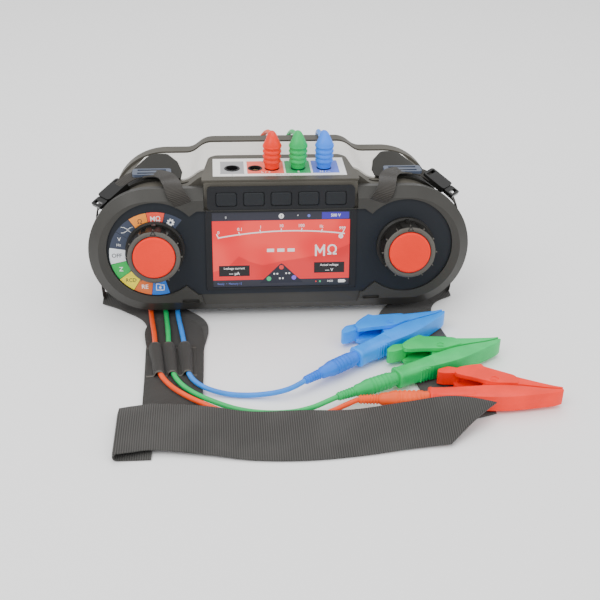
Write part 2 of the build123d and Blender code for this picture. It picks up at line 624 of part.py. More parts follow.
# ---------------------------------------------------------------- neck strap on the floor
STRAP_SECTIONS = [              # x, far edge (y, z), near edge (y, z) of the strap's underside
    (-126.0, (-184.0, 1.7), (-239.0, 1.7)),
    (-95.0, (-183.0, 4.6), (-231.0, 1.7)),
    (-62.0, (-191.0, 7.2), (-237.5, 1.7)),
    (-30.0, (-197.0, 5.6), (-243.5, 0.3)),
    (5.0, (-196.5, 5.2), (-245.5, 0.2)),
    (40.0, (-198.0, 5.4), (-243.0, 0.2)),
    (79.0, (-197.0, 9.6), (-237.5, 0.6)),
    (105.0, (-198.5, 14.4), (-236.0, 1.7)),
    (125.0, (-200.8, 14.4), (-239.0, 1.7)),
    (150.0, (-206.0, 10.4), (-244.0, 1.7)),
]
FOLD_FAR, FOLD_NEAR = (143.0, -204.0), (103.0, -237.0)

with BuildPart() as strap_front:
    for left, right in zip(STRAP_SECTIONS, STRAP_SECTIONS[1:]):
        for x, far, near in (left, right):
            with BuildSketch(Plane.YZ.offset(x)) as strap_cut:
                with BuildLine():
                    Polyline(far, near, (near[0], near[1] + WEB_T), (far[0], far[1] + WEB_T), close=True)
                make_face()
        loft(ruled=True)
    with BuildSketch() as beyond_fold:
        with BuildLine():
            Polyline(FOLD_FAR, FOLD_NEAR, (103, -300), (300, -300), (300, -190), (147, -190), close=True)
        make_face()
    extrude(amount=40, mode=Mode.SUBTRACT)
finish(strap_front, "strap_front")

with BuildPart() as strap_left_run:
    with BuildSketch() as left_run_plan:
        with BuildLine():
            Polyline((-149, -8), (-149, -28), (-110, -56), (-107, -180), (-126, -186), (-124, -240),
                     (-98, -240),
                     (-64, -186), (-62, -60), (-90, -20), close=True)
        make_face()
    extrude(amount=WEB_T)
finish(strap_left_run, "strap_left_run")

with BuildPart() as strap_right_run:
    with BuildSketch() as right_run_plan:
        with BuildLine():
            Polyline((149, -8), (149, -28), (125, -50), (133, -104), (146, -197), (103, -236), (95, -169),
                     (88, -110), (78, -56), (92, -20), close=True)
        make_face()
    extrude(amount=WEB_T)
finish(strap_right_run, "strap_right_run")

HOLDER_TOP = WEB_T + HOLDER_T
ELASTIC_R, ELASTIC_T, ELASTIC_LIFT = 3.2, 1.2, 0.2
ELASTIC_RUNS = {"red": ((-101.0, -106.0), (-96.3, -143.0)), "green": ((-90.6, -106.0), (-86.6, -143.0)),
                "blue": ((-78.3, -106.0), (-75.3, -143.0))}
CORD_ON_HOLDER_Z = HOLDER_TOP + 0.5 * CORD_D + 0.35

with BuildPart() as lead_holder:
    with BuildSketch(Plane.XY.offset(WEB_T)) as holder_plan:
        with BuildLine():
            FilletPolyline(
                (-64, -120), (-64, -180), (-107, -180), (-107, -100), (-110.5, -72), (-101, -58), (-75, -56),
                (-64, -80), radius=(3, 3, 12, 12, 10, 12), close=False,
            )
            Line((-64, -80), (-64, -120))
        make_face()
    extrude(amount=HOLDER_T)
    for start, end in ELASTIC_RUNS.values():
        run = Vector(end[0] - start[0], end[1] - start[1], 0)
        side = Vector(0, 0, 1).cross(run).normalized()
        with BuildSketch(Plane(origin=(*start, HOLDER_TOP), x_dir=side, z_dir=run.normalized())) as elastic:
            with Locations((0, ELASTIC_R + ELASTIC_LIFT)):
                Circle(ELASTIC_R + ELASTIC_T)
                Circle(ELASTIC_R, mode=Mode.SUBTRACT)
        extrude(amount=run.length)
    split(bisect_by=Plane.XY.offset(WEB_T), keep=Keep.TOP)
finish(lead_holder, "lead_holder")

# ---------------------------------------------------------------- plugs
PLUG_Z = PANEL_TOP_Z + 0.6
PLUG_H = 20.0
NECK_POINTS = [(JACK_Y, PLUG_Z + PLUG_H - 1), (JACK_Y, PLUG_Z + 28.8), (0.0, PLUG_Z + 22.3)]

for colour, plug_x in PLUG_X.items():
    with BuildPart() as plug:
        with BuildSketch(Plane(origin=(plug_x, JACK_Y, PLUG_Z), x_dir=(1, 0, 0), z_dir=(0, -1, 0))) as grip:
            with BuildLine():
                Polyline(
                    (0, 0), (7, 0), (7, 4), (6.1, 4.6), (6.1, 6.8), (7, 7.4), (7, 10), (6.1, 10.6), (6.1, 12.8),
                    (7, 13.4), (7.6, 17.5), (5.6, PLUG_H - 0.5), (4.2, PLUG_H), (0, PLUG_H), close=True,
                )
            make_face()
        revolve(axis=Axis((plug_x, JACK_Y, 0), (0, 0, 1)))
        with BuildLine(Plane.YZ.offset(plug_x)) as neck_line:
            FilletPolyline(*NECK_POINTS, radius=6.0)
        with BuildSketch(Plane(origin=neck_line.line @ 0, z_dir=neck_line.line % 0)) as neck_section:
            Circle(3.2)
        sweep(path=neck_line.line)
        with BuildSketch(Plane.XY.offset(PLUG_Z)) as shroud:
            with Locations((plug_x, JACK_Y)):
                Circle(4.3)
                Circle(3.3, mode=Mode.SUBTRACT)
        extrude(amount=-16)
        with BuildSketch(Plane.XY.offset(PLUG_Z)) as contact_pin:
            with Locations((plug_x, JACK_Y)):
                Circle(CONTACT_BORE_R - 0.06)
        extrude(amount=-18)
    finish(plug, f"plug_{colour}")

# ---------------------------------------------------------------- clips
def clip_plane(colour, height=CLIP_Z):
    """Plane of a clip lying on its side: x runs from the boot to the jaw's tip."""
    (x, y), heading = CLIPS[colour]
    turn = math.radians(heading)
    return Plane(origin=(x, y, height), x_dir=(math.cos(turn), math.sin(turn), 0), z_dir=(0, 0, 1))


for colour in CLIPS:
    clip_frame = clip_plane(colour)
    with BuildPart() as handle:
        with BuildSketch(Plane(origin=clip_frame.from_local_coords((BOOT_LEN, 0, 0)), x_dir=(0, 0, 1),
                               z_dir=clip_frame.x_dir)) as barrel:
            Circle(7.0)
        extrude(amount=33)
        with BuildSketch(clip_frame.offset(-CLIP_HALF_T)) as lower_jaw:
            with BuildLine():
                Polyline((62, -7), (62, 5.5), (95, 6.2), (131.5, 0.6), (132, -1.5), (128, -3.2), (106, -6.2),
                         (94, -8), (78, -8), close=True)
            make_face()
        extrude(amount=2 * CLIP_HALF_T)
        with BuildSketch(clip_frame.offset(-TONGUE_HALF_T)) as tongue:
            with BuildLine():
                Polyline((72, 3), (78, 18), (90, 18), (95, 3), close=True)
            make_face()
            with Locations(CLIP_PIVOT):
                Circle(PIN_R, mode=Mode.SUBTRACT)
        extrude(amount=2 * TONGUE_HALF_T)
        with BuildSketch(clip_frame.offset(-1.5)) as spring_pocket:
            with Locations(CLIP_PIVOT):
                Circle(4.2)
        extrude(amount=3.0, mode=Mode.SUBTRACT)
    finish(handle, f"clip_handle_{colour}")

    with BuildPart() as jaw:
        with BuildSketch(clip_frame.offset(-CLIP_HALF_T)) as beak:
            with BuildLine():
                Polyline((97, 6.6), (131.5, 1.3), (132, 2.6), (128, 5.0), (108, 14), (97, 18.5), close=True)
            make_face()
        extrude(amount=2 * CLIP_HALF_T)
        for low in (-CHEEK_OUT, CHEEK_IN):
            with BuildSketch(clip_frame.offset(low)) as cheek:
                with BuildLine():
                    Polyline((99, 7.4), (99, 17.8), (90, 21.5), (76, 26.5), (62, 29.5), (54, 31),
                             (54, 26), (66, 22.5),
                             (76, 16), (80, 9.4), (84, 7.7), (92, 7.7), close=True)
                make_face()
                with Locations(CLIP_PIVOT):
                    Circle(PIN_R + RUN_GAP, mode=Mode.SUBTRACT)
            extrude(amount=CHEEK_OUT - CHEEK_IN)
        with BuildSketch(clip_frame.offset(-CHEEK_OUT)) as thumb_tab:
            with BuildLine():
                Polyline((45, 27.5), (47, 33), (68, 28.5), (66, 22.5), close=True)
            make_face()
        extrude(amount=2 * CHEEK_OUT)
    finish(jaw, f"clip_jaw_{colour}")

with BuildPart() as clip_pins:
    for colour in CLIPS:
        with BuildSketch(clip_plane(colour, CLIP_Z - CHEEK_OUT)) as pin_section:
            with Locations(CLIP_PIVOT):
                Circle(PIN_R)
        extrude(amount=2 * CHEEK_OUT)
finish(clip_pins, "clip_pins")

with BuildPart() as clip_springs:
    for colour in CLIPS:
        with BuildSketch(clip_plane(colour, CLIP_Z - 1.4)) as spring_section:
            with Locations(CLIP_PIVOT):
                Circle(3.6)
                Circle(PIN_R + 0.2, mode=Mode.SUBTRACT)
        extrude(amount=2.8)
finish(clip_springs, "clip_springs")

with BuildPart() as lead_boots:
    for colour in CLIPS:
        clip_frame = clip_plane(colour)
        with BuildSketch(clip_frame) as boot_profile:
            with BuildLine():
                Polyline(
                    (-RELIEF_LEN, 0), (-RELIEF_LEN, 2.9), (-12, 3.0), (-8, 3.3), (-1, 3.6), (0, 4.4), (6, 4.8),
                    (11, 5.8), (29, 6.0), (30, 5.2), (BOOT_LEN, 5.2), (BOOT_LEN, 0), close=True,
                )
            make_face()
        revolve(axis=Axis(clip_frame.origin, clip_frame.x_dir))
finish(lead_boots, "lead_boots")

# ---------------------------------------------------------------- test lead cords
COIL_TOP_Z = 0.5 * CORD_D + 0.1 + COIL_TURNS * COIL_PITCH
COIL_FRONT_Y = COIL_Y - COIL_R
FLOOR_Z = 0.5 * CORD_D + 0.1
REAR_ROUTES = {
    "red": [(1, 12, 131.6), (2.2, 24, 124.6), (3.4, 38, 119.6), (3.6, 54, 117.6), (1.5, 69, 116.8),
            (-3, 80, 109),
            (-10, 84, 93), (-23, 85, 72), (-41, 84, 51), (-61, 82, 33.5), (-78, 79.6, 22.5)],
    "green": [(1, 12, 131.6), (2.2, 24, 124.6), (3.4, 38, 119.6), (3.6, 54, 117.6), (1.5, 69, 116.8),
              (-1, 80, 109),
              (-5, 84.5, 93), (-12, 86, 73), (-22, 85, 53), (-33, 83, 35), (-43, 80, 23)],
    "blue": [(1, 12, 131.6), (2.2, 24, 124.6), (3.4, 38, 119.6), (3.6, 54, 117.6), (3.5, 69, 116.8),
             (3.5, 80, 109),
             (5.5, 84.5, 93), (8, 86, 73), (9, 85, 54), (4, 83, 36.5), (-7, 80, 24)],
}
FRONT_ROUTES = {
    "red": [(-117, 73, FLOOR_Z), (-123, 56, FLOOR_Z), (-121, 33, FLOOR_Z), (-115, 8, 2.6), (-110.5, -18, 3.8),
            (-107.5, -44, 3.9), (-105.2, -66, 5.0), (-102.4, -87, 5.1), (-101.0, -106, CORD_ON_HOLDER_Z),
            (-99.0, -124.5, 5.0), (-96.3, -143, CORD_ON_HOLDER_Z), (-88, -159, 4.9), (-77, -171.5, 4.9),
            (-64, -182.5, 4.9),
            (-48, -192.5, 3.4), (-29, -198.8, 2.2), (-8, -200.6, FLOOR_Z), (12, -199.5, 2.2), (26, -196, 3.6),
            (36.8, -192, 6.7)],
    "green": [(-66, 73, FLOOR_Z), (-81, 61, FLOOR_Z), (-91, 41, FLOOR_Z), (-96.5, 16, 2.4), (-97.6, -11, 3.8),
              (-96, -37, 3.9), (-93.8, -61, 5.0), (-91.7, -84, 5.1), (-90.6, -106, CORD_ON_HOLDER_Z),
              (-89.0, -124.5, 5.0), (-86.6, -143, CORD_ON_HOLDER_Z), (-80, -158, 4.9), (-69.5, -170.5, 4.9),
              (-56, -180.5, 4.7),
              (-40, -188.5, 3.0), (-20, -193, 2.3), (0, -193.6, 2.8), (14, -191.6, 5.0), (23.8, -188.8, 7.8)],
    "blue": [(-15, 74, FLOOR_Z), (-37, 70.5, FLOOR_Z), (-58, 62, FLOOR_Z), (-73, 44, FLOOR_Z), (-81, 19, 2.4),
             (-85, -8, 3.8), (-86, -34, 3.9), (-84.6, -59, 5.0), (-81, -83, 5.1),
             (-78.3, -106, CORD_ON_HOLDER_Z),
             (-77.2, -124.5, 5.0), (-75.3, -143, CORD_ON_HOLDER_Z), (-69.5, -156, 4.9),
             (-59, -164.5, 4.0), (-44.5, -169, 2.4),
             (-27.5, -171, 2.6), (-11, -172, 4.9), (2.5, -170, 7.9)],
}


def corner_radii(points):
    """Largest bend at each corner of a route: 0.45 of the shorter run over the tangent of half the turn."""
    vectors = [Vector(*p) for p in points]
    radii = []
    for before, here, after in zip(vectors, vectors[1:], vectors[2:]):
        turn = (here - before).get_angle(after - here)
        shorter = min((here - before).length, (after - here).length)
        radii.append(0.45 * shorter / math.tan(math.radians(0.5 * turn)))
    return radii


def build_cord(name, points):
    """Tube of a test lead along straight runs joined by tangent arcs."""
    radii = corner_radii(points)
    with BuildPart() as cord:
        with BuildLine() as cord_line:
            FilletPolyline(*points, radius=radii)
        with BuildSketch(Plane(origin=cord_line.line @ 0, z_dir=cord_line.line % 0)) as cord_section:
            Circle(0.5 * CORD_D)
        sweep(path=cord_line.line)
    length = cord_line.wire().length
    ratio = cord.part.volume / (math.pi * (0.5 * CORD_D) ** 2 * length)
    print(name, "length", round(length, 1), "volume ratio", round(ratio, 4),
          "smallest bend", round(min(radii), 1), "radii", [round(r) for r in radii])
    finish(cord, name)
    return length


for colour, plug_x in PLUG_X.items():
    neck_end = (plug_x, *NECK_POINTS[-1])
    coil_x = COIL_X[colour]
    rear_points = [neck_end, *[(plug_x + dx, y, z) for dx, y, z in REAR_ROUTES[colour]],
                   (coil_x + 6, COIL_FRONT_Y + 0.3, COIL_TOP_Z)]
    relief_end = clip_plane(colour).from_local_coords((-RELIEF_LEN, 0, 0))
    front_points = [(coil_x - 4, COIL_FRONT_Y, FLOOR_Z), *FRONT_ROUTES[colour], tuple(relief_end)]
    rear_length = build_cord(f"cable_rear_{colour}", rear_points)
    front_length = build_cord(f"cable_front_{colour}", front_points)
    coil_length = math.hypot(2 * math.pi * COIL_R, COIL_PITCH) * COIL_TURNS
    print("lead", colour, "total", round(rear_length + coil_length + front_length, 1))
    with BuildPart() as coil:
        with BuildSketch() as coil_plan:
            with Locations((coil_x, COIL_Y)):
                Circle(COIL_R + 0.5 * CORD_D)
                Circle(COIL_R - 0.5 * CORD_D, mode=Mode.SUBTRACT)
        extrude(amount=COIL_TOP_Z + 0.5 * CORD_D)
    finish(coil, f"coil_{colour}")
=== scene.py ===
"""Looks of an insulation resistance tester with its neck strap and three test leads.

Lengths in the dataclasses are in millimetres and become metres where a mesh is made.
"""

import logging
import math
from dataclasses import dataclass, field
from enum import Enum
from typing import Any, Iterable, Sequence

import bmesh
import bpy
from mathutils import Matrix, Vector


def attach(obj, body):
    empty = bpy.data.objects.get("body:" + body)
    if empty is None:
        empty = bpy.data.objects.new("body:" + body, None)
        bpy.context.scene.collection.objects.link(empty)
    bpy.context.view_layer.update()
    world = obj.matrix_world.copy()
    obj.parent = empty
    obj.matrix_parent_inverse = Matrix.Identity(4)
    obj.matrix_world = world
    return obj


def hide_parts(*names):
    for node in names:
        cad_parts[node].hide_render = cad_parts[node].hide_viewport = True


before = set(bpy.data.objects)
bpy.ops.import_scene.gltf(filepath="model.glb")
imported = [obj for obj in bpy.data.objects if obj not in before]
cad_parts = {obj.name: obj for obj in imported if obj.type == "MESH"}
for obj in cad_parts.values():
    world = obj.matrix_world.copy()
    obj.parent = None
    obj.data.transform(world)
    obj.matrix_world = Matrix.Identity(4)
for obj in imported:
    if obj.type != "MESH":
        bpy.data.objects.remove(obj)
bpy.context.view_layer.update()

MM = 0.001
TILT = math.radians(10.35)
FASCIA_TOP = -0.8
FACE_FOOT = Vector((0.0, -60.0, 10.0))
KNOB_U, KNOB_V = 100.4, 52.4
JACK_Y = -13.0
COIL_Y, COIL_R = 101.0, 23.0
PLUG_TOP = 137.5
Colour = tuple[float, float, float]
Point = tuple[float, float, float]
Flat = tuple[float, float]
log = logging.getLogger("tester")


def srgb(code: str) -> Colour:
    """Linear colour of a six-digit web colour."""
    parts = [int(code[i:i + 2], 16) / 255 for i in (0, 2, 4)]
    return tuple(c / 12.92 if c <= 0.04045 else ((c + 0.055) / 1.055) ** 2.4 for c in parts)


def on_face(u: float, v: float, w: float) -> Vector:
    """Point in mm, u across the screen face, v up it and w out of it."""
    s, c = math.sin(TILT), math.cos(TILT)
    return FACE_FOOT + Vector((u, v * s - w * c, v * c + w * s))


def face_matrix(u: float = 0.0, v: float = 0.0, w: float = 0.0) -> Matrix:
    """Matrix in mm whose X, Y and Z run across, up and out of the screen face at a point of it.

    Args:
        u: place of the point across the face.
        v: its place up the face.
        w: its height over the face.
    Returns:
        The matrix.
    """
    s, c = math.sin(TILT), math.cos(TILT)
    turn = Matrix(((1, 0, 0), (0, s, -c), (0, c, s))).to_4x4()
    return Matrix.Translation(on_face(u, v, w)) @ turn


def circle(steps: int) -> list[Flat]:
    """Cosine and sine of evenly spaced angles around a circle."""
    return [(math.cos(math.tau * i / steps), math.sin(math.tau * i / steps)) for i in range(steps)]


def link(item: bpy.types.Object) -> bpy.types.Object:
    """Puts an object into the scene."""
    bpy.context.scene.collection.objects.link(item)
    return item


def plain_mesh(item: bpy.types.Object) -> bpy.types.Mesh:
    """Takes the mesh of an evaluated object, which is removed.

    Args:
        item: the object, with its modifiers or curve settings.
    Returns:
        A mesh of its own.
    """
    bpy.context.view_layer.update()
    mesh = bpy.data.meshes.new_from_object(item.evaluated_get(bpy.context.evaluated_depsgraph_get()))
    bpy.data.objects.remove(item)
    return mesh


# ---------------------------------------------------------------- node building
class Value:
    """A node socket's output that can be used in arithmetic."""

    def __init__(self, nodes: "Nodes", socket: bpy.types.NodeSocket) -> None:
        """Keeps the socket and the tree it belongs to."""
        self.nodes, self.socket = nodes, socket

    def maths(self, operation: str, *others: Any) -> "Value":
        """Result of a Math node on this value and others, each a Value or a number."""
        return self.nodes.add("ShaderNodeMath", {"operation": operation}, dict(enumerate([self, *others])))

    def __add__(self, other: Any) -> "Value":
        """Sum."""
        return self.maths("ADD", other)

    __radd__ = __add__

    def __mul__(self, other: Any) -> "Value":
        """Product."""
        return self.maths("MULTIPLY", other)

    __rmul__ = __mul__

    def __sub__(self, other: Any) -> "Value":
        """Difference."""
        return self.maths("SUBTRACT", other)

    def __rsub__(self, other: Any) -> "Value":
        """Difference from a number."""
        return self.nodes.add("ShaderNodeMath", {"operation": "SUBTRACT"}, {0: other, 1: self})

    def __truediv__(self, other: Any) -> "Value":
        """Quotient."""
        return self.maths("DIVIDE", other)

    def ridge(self) -> "Value":
        """Triangle wave of period 1, from 0 to 1 and back."""
        return self.maths("PINGPONG", 0.5) * 2.0

    def soft(self, low: float, high: float) -> "Value":
        """Smooth step from 0 at low to 1 at high."""
        return self.nodes.add("ShaderNodeMapRange", {"interpolation_type": "SMOOTHSTEP"},
                              {"Value": self, "From Min": low, "From Max": high})


class Nodes:
    """A node tree that adds each node with its settings and the values or links of its sockets."""

    def __init__(self, tree: bpy.types.NodeTree) -> None:
        """Takes over an existing tree."""
        self.tree = tree

    def add(self, kind: str, settings: dict[str, Any] | None = None, sockets: dict[Any, Any] | None = None,
            output: Any = 0) -> Value:
        """Adds a node.

        Args:
            kind: Blender's node type.
            settings: properties of the node, set first.
            sockets: input name or number to a number, colour, data block or Value.
            output: name or number of the output to return.
        Returns:
            The chosen output.
        """
        node = self.tree.nodes.new(kind)
        for name, value in (settings or {}).items():
            setattr(node, name, value)
        for name, value in (sockets or {}).items():
            self.set(node.inputs[name], value)
        return Value(self, node.outputs[output])

    def set(self, target: bpy.types.NodeSocket, value: Any) -> None:
        """Gives a socket a value or a link.

        Args:
            target: the socket.
            value: a Value to link from, or a plain value.
        """
        if isinstance(value, Value):
            self.tree.links.new(value.socket, target)
        else:
            target.default_value = value


class Shader(Nodes):
    """A material's tree around one Principled shader."""

    def __init__(self, name: str, **fixed: Any) -> None:
        """Makes the material.

        Args:
            name: the finish's name, which the material's name begins with.
            fixed: constants of the shader, with spaces in their names as underscores.
        """
        self.material = bpy.data.materials.new(f"{name}_look")
        self.material.use_nodes = True
        super().__init__(self.material.node_tree)
        self.surface = next(n for n in self.tree.nodes if n.type == "BSDF_PRINCIPLED")
        for key, value in fixed.items():
            self.feed(key.replace("_", " "), value)

    def feed(self, socket: str, value: Any) -> None:
        """Sets or links one socket of the shader."""
        self.set(self.surface.inputs[socket], value)

    def place(self) -> Value:
        """Object coordinates in metres."""
        return self.add("ShaderNodeTexCoord", output="Object")

    def axis(self, vector: Value, name: str) -> Value:
        """One coordinate of a vector."""
        return self.add("ShaderNodeSeparateXYZ", None, {0: vector}, name)

    def noise(self, scale: float, detail: float = 2.0) -> Value:
        """Noise from 0 to 1 at a scale per metre."""
        return self.add("ShaderNodeTexNoise", None, {"Vector": self.place(), "Scale": scale,
                                                     "Detail": detail})

    def blend(self, share: Any, first: Any, second: Any) -> Value:
        """Mix of two colours.

        Args:
            share: share of the second, a number or a Value.
            first: colour at a share of 0.
            second: colour at a share of 1.
        Returns:
            The mixed colour.
        """
        def rgba(value: Any) -> Any:
            """Adds the fourth channel to a plain colour."""
            return value if isinstance(value, Value) else (*value, 1.0)
        node = self.tree.nodes.new("ShaderNodeMix")
        node.data_type = "RGBA"
        for index, value in ((0, share), (6, rgba(first)), (7, rgba(second))):
            self.set(node.inputs[index], value)
        return Value(self, node.outputs[2])

    def bump(self, height: Value, distance: float, strength: float = 1.0) -> None:
        """Feeds the normal from a height from 0 to 1 that stands for distance metres."""
        self.feed("Normal", self.add("ShaderNodeBump", None,
                                     {"Height": height, "Distance": distance, "Strength": strength}))


def shade(colour: Colour, factor: float) -> Colour:
    """A colour made lighter or darker."""
    return tuple(min(1.0, c * factor) for c in colour)


# ---------------------------------------------------------------- finishes
@dataclass(frozen=True)
class Finish:
    """Base of the finishes: a name, a colour and the record's slot."""

    name: str
    colour: Colour
    slot: str

    def dress(self) -> bpy.types.Material:
        """Builds the material."""
        raise NotImplementedError

    def material(self) -> bpy.types.Material:
        """The material, made once."""
        return bpy.data.materials.get(f"{self.name}_look") or self.dress()


@dataclass(frozen=True)
class Moulded(Finish):
    """Moulded plastic or rubber with a spark-eroded grain and faint handling marks."""

    roughness: float = 0.5
    grain: float = 1500.0
    depth: float = 0.00005
    gloss: float = 0.0
    cloud: float = 0.10

    def dress(self) -> bpy.types.Material:
        """Builds the material.

        Returns:
            The material.
        """
        shader = Shader(self.name, Coat_Roughness=0.3, Specular_IOR_Level=0.2)
        cloud = shader.noise(22.0, 3.0)
        speck = shader.noise(self.grain, 2.0)
        tone = shader.blend(cloud.soft(0.3, 0.7), shade(self.colour, 1 - self.cloud),
                            shade(self.colour, 1 + self.cloud))
        shader.feed("Base Color", shader.blend(speck.soft(0.35, 0.75) * 0.25, tone,
                                               shade(self.colour, 0.7)))
        shader.feed("Roughness", cloud * 0.12 + (self.roughness - 0.06))
        shader.feed("Coat Weight", self.gloss)
        shader.bump(speck, self.depth, 0.7)
        return shader.material


@dataclass(frozen=True)
class Silicone(Finish):
    """Soft silicone of cords, boots and clip mouldings."""

    roughness: float = 0.38
    coat: float = 0.08

    def dress(self) -> bpy.types.Material:
        """Builds the material.

        Returns:
            The material.
        """
        shader = Shader(self.name, Specular_IOR_Level=0.25, Coat_Roughness=0.25)
        cloud = shader.noise(60.0, 2.0)
        dust = shader.noise(900.0, 3.0).soft(0.55, 0.8)
        body = shader.blend(cloud.soft(0.3, 0.7), shade(self.colour, 0.9), shade(self.colour, 1.08))
        shader.feed("Base Color", shader.blend(dust * 0.03, body, (0.8, 0.8, 0.8)))
        shader.feed("Roughness", dust * 0.2 + self.roughness)
        shader.feed("Coat Weight", self.coat)
        shader.bump(shader.noise(700.0, 2.0), 0.00004, 0.5)
        return shader.material


@dataclass(frozen=True)
class Webbing(Finish):
    """Woven webbing; the piece's UV map holds millimetres along and across the strap."""

    pitch: float = 1.5
    # colour of the rib crests: painted highlight; the worn patches are a lighter tint of it
    light: Colour = (0.2, 0.2, 0.2)

    def dress(self) -> bpy.types.Material:
        """Builds the material.

        Returns:
            The material.
        """
        shader = Shader(self.name, Roughness=0.9, Sheen_Weight=0.12, Sheen_Roughness=0.5,
                        Specular_IOR_Level=0.2)
        uv = shader.add("ShaderNodeUVMap", {"uv_map": "weave"})
        along, across = shader.axis(uv, "X"), shader.axis(uv, "Y")
        rib = (along / self.pitch).ridge().soft(0.15, 0.85)
        pick = (across / 0.9).ridge()
        fuzz = shader.noise(2600.0, 2.0)
        worn = shader.noise(35.0, 3.0).soft(0.35, 0.7)
        # rib crests take the light colour and the grooves fall to 55% of the colour: painted highlight and
        # shade of the ribs
        base = shader.blend(rib, shade(self.colour, 0.55), self.light)
        woven = shader.blend(pick * 0.25, base, shade(self.colour, 0.7))
        shader.feed("Base Color", shader.blend(worn * 0.18 + fuzz * 0.15, woven, shade(self.light, 1.35)))
        shader.bump(rib * 0.7 + pick * 0.15 + fuzz * 0.25, 0.00035, 0.9)
        return shader.material


@dataclass(frozen=True)
class Ink(Finish):
    """Matt printed ink or film."""

    roughness: float = 0.55
    mottle: float = 0.05

    def dress(self) -> bpy.types.Material:
        """Builds the material.

        Returns:
            The material.
        """
        shader = Shader(self.name, Roughness=self.roughness)
        patch = shader.noise(300.0, 2.0)
        shader.feed("Base Color", shader.blend(patch, shade(self.colour, 1 - self.mottle),
                                               shade(self.colour, 1 + self.mottle)))
        return shader.material


@dataclass(frozen=True)
class Lit(Finish):
    """A lit area of the display."""

    strength: float = 0.85
    second: Colour | None = None

    def dress(self) -> bpy.types.Material:
        """Builds the material.

        Returns:
            The material.
        """
        shader = Shader(self.name, Roughness=0.16, Emission_Strength=self.strength, Coat_Weight=0.12,
                        Coat_Roughness=0.06, Specular_IOR_Level=0.25)
        wash = shader.noise(26.0, 1.0).soft(0.4, 0.62)
        tone = shader.blend(wash, self.colour, self.second or shade(self.colour, 1.06))
        shader.feed("Base Color", shader.blend(0.8, tone, (0.01, 0.01, 0.01)))
        shader.feed("Emission Color", tone)
        return shader.material


@dataclass(frozen=True)
class Plated(Finish):
    """Plated or polished metal."""

    roughness: float = 0.3

    def dress(self) -> bpy.types.Material:
        """Builds the material.

        Returns:
            The material.
        """
        shader = Shader(self.name, Metallic=1.0)
        smear = shader.noise(200.0, 4.0)
        shader.feed("Base Color", shader.blend(smear, shade(self.colour, 0.85), self.colour))
        shader.feed("Roughness", smear * 0.2 + self.roughness)
        return shader.material


@dataclass(frozen=True)
class Ribbed(Finish):
    """Off-white plate with fine ribs that run across the instrument; their grooves are painted darker as
    shade.
    """

    pitch: float = 3.0

    def dress(self) -> bpy.types.Material:
        """Builds the material.

        Returns:
            The material.
        """
        shader = Shader(self.name, Roughness=0.42)
        depth = shader.axis(shader.place(), "Y") / (self.pitch * MM)
        groove = 1.0 - depth.ridge().soft(0.0, 0.28)
        stain = shader.noise(30.0, 3.0).soft(0.45, 0.75)
        plate = shader.blend(stain * 0.5, self.colour, shade(self.colour, 0.88))
        # grooves drawn towards 45% of the plate's colour: painted shade in the grooves
        shader.feed("Base Color", shader.blend(groove * 0.55, plate, shade(self.colour, 0.45)))
        shader.bump(1.0 - groove, 0.0004, 0.8)
        return shader.material


CASE = Moulded("case_plastic", srgb("4f4c45"), "case_plastic", 0.48, 1300.0, 0.00006, 0.05)
RIM = Moulded("bumper_rubber", srgb("3a3936"), "bumper_rubber", 0.42, 1500.0, 0.00004, 0.08)
FASCIA = Moulded("fascia_print", srgb("1f2329"), "fascia_print", 0.55, 2400.0, 0.00002, 0.05, 0.05)
KEYPAD = Moulded("keypad_print", srgb("212225"), "fascia_print", 0.5, 2400.0, 0.00002)
KEY = Moulded("key_rubber", srgb("242629"), "key_rubber", 0.55, 2000.0, 0.00003, 0.0, 0.06)
KNOB = Moulded("knob_plastic", srgb("1e1d1b"), "knob_plastic", 0.42, 1600.0, 0.00004, 0.1)
# Pale colour of the knob's rounded top edge: painted highlight; the ticks use it too.
KNOB_RIM_HIGHLIGHT = Moulded("knob_rim_highlight", srgb("57544f"), "knob_plastic", 0.38, 1600.0, 0.00003)
CAP = Moulded("test_cap_red", srgb("f8301a"), "cap_red", 0.5, 2200.0, 0.00003, 0.0, 0.05)
BOARD = Moulded("board_green", (0.04, 0.2, 0.1), "board", 0.45)
STEEL = Plated("plated_steel", (0.62, 0.62, 0.63), "steel")
GOLD = Plated("contact_gold", (0.85, 0.65, 0.3), "contact")
CELL = Moulded("cell_jackets", srgb("30343c"), "cell", 0.35)
BLACK = Moulded("switch_black", srgb("1c1c1e"), "switch_plastic", 0.4)
COPPER = Moulded("taped_winding", srgb("a8662f"), "copper", 0.45)
PLATE = Ribbed("deck_plate", srgb("e3e0da"), "label_white")
PAD = Moulded("shoulder_pad", srgb("24231f"), "pad_rubber", 0.6, 900.0, 0.00009)
FOOT = Moulded("foot_rubber", srgb("1d1d1d"), "foot_rubber", 0.7)
STRAP = Webbing("neck_webbing", srgb("3a3937"), "webbing", 1.6, srgb("4b4a48"))
HARNESS = Webbing("harness_webbing", srgb("2c2a28"), "webbing", 1.3, srgb("403d39"))
ELASTIC = Webbing("elastic_cloth", srgb("282725"), "webbing", 1.1, srgb("383633"))
HARNESS_EDGE = Moulded("hem_edge", srgb("5d5a55"), "webbing", 0.8, 900.0, 0.0001)
# Dark metal sliders whose colour is raised to a blue-grey: painted glancing reflection.
SLIDE_REFLECTION = Moulded("slide_painted_reflection", srgb("4a5365"), "slider_metal", 0.32, 1800.0, 0.00002, 0.3)
BUCKLE = Moulded("buckle_black", srgb("161616"), "buckle_plastic", 0.25, 1200.0, 0.00002, 0.3)
WINDOW = Ink("window_glass", (0.02, 0.02, 0.022), "window_glass", 0.1)
PANEL_WHITE = Ink("panel_white", srgb("e9e7e4"), "label_white", 0.45)
PRINT_WHITE = Ink("print_white", srgb("f2f2f2"), "label_white", 0.5)
PRINT_DARK = Ink("print_dark", srgb("2a2c33"), "fascia_print", 0.5)


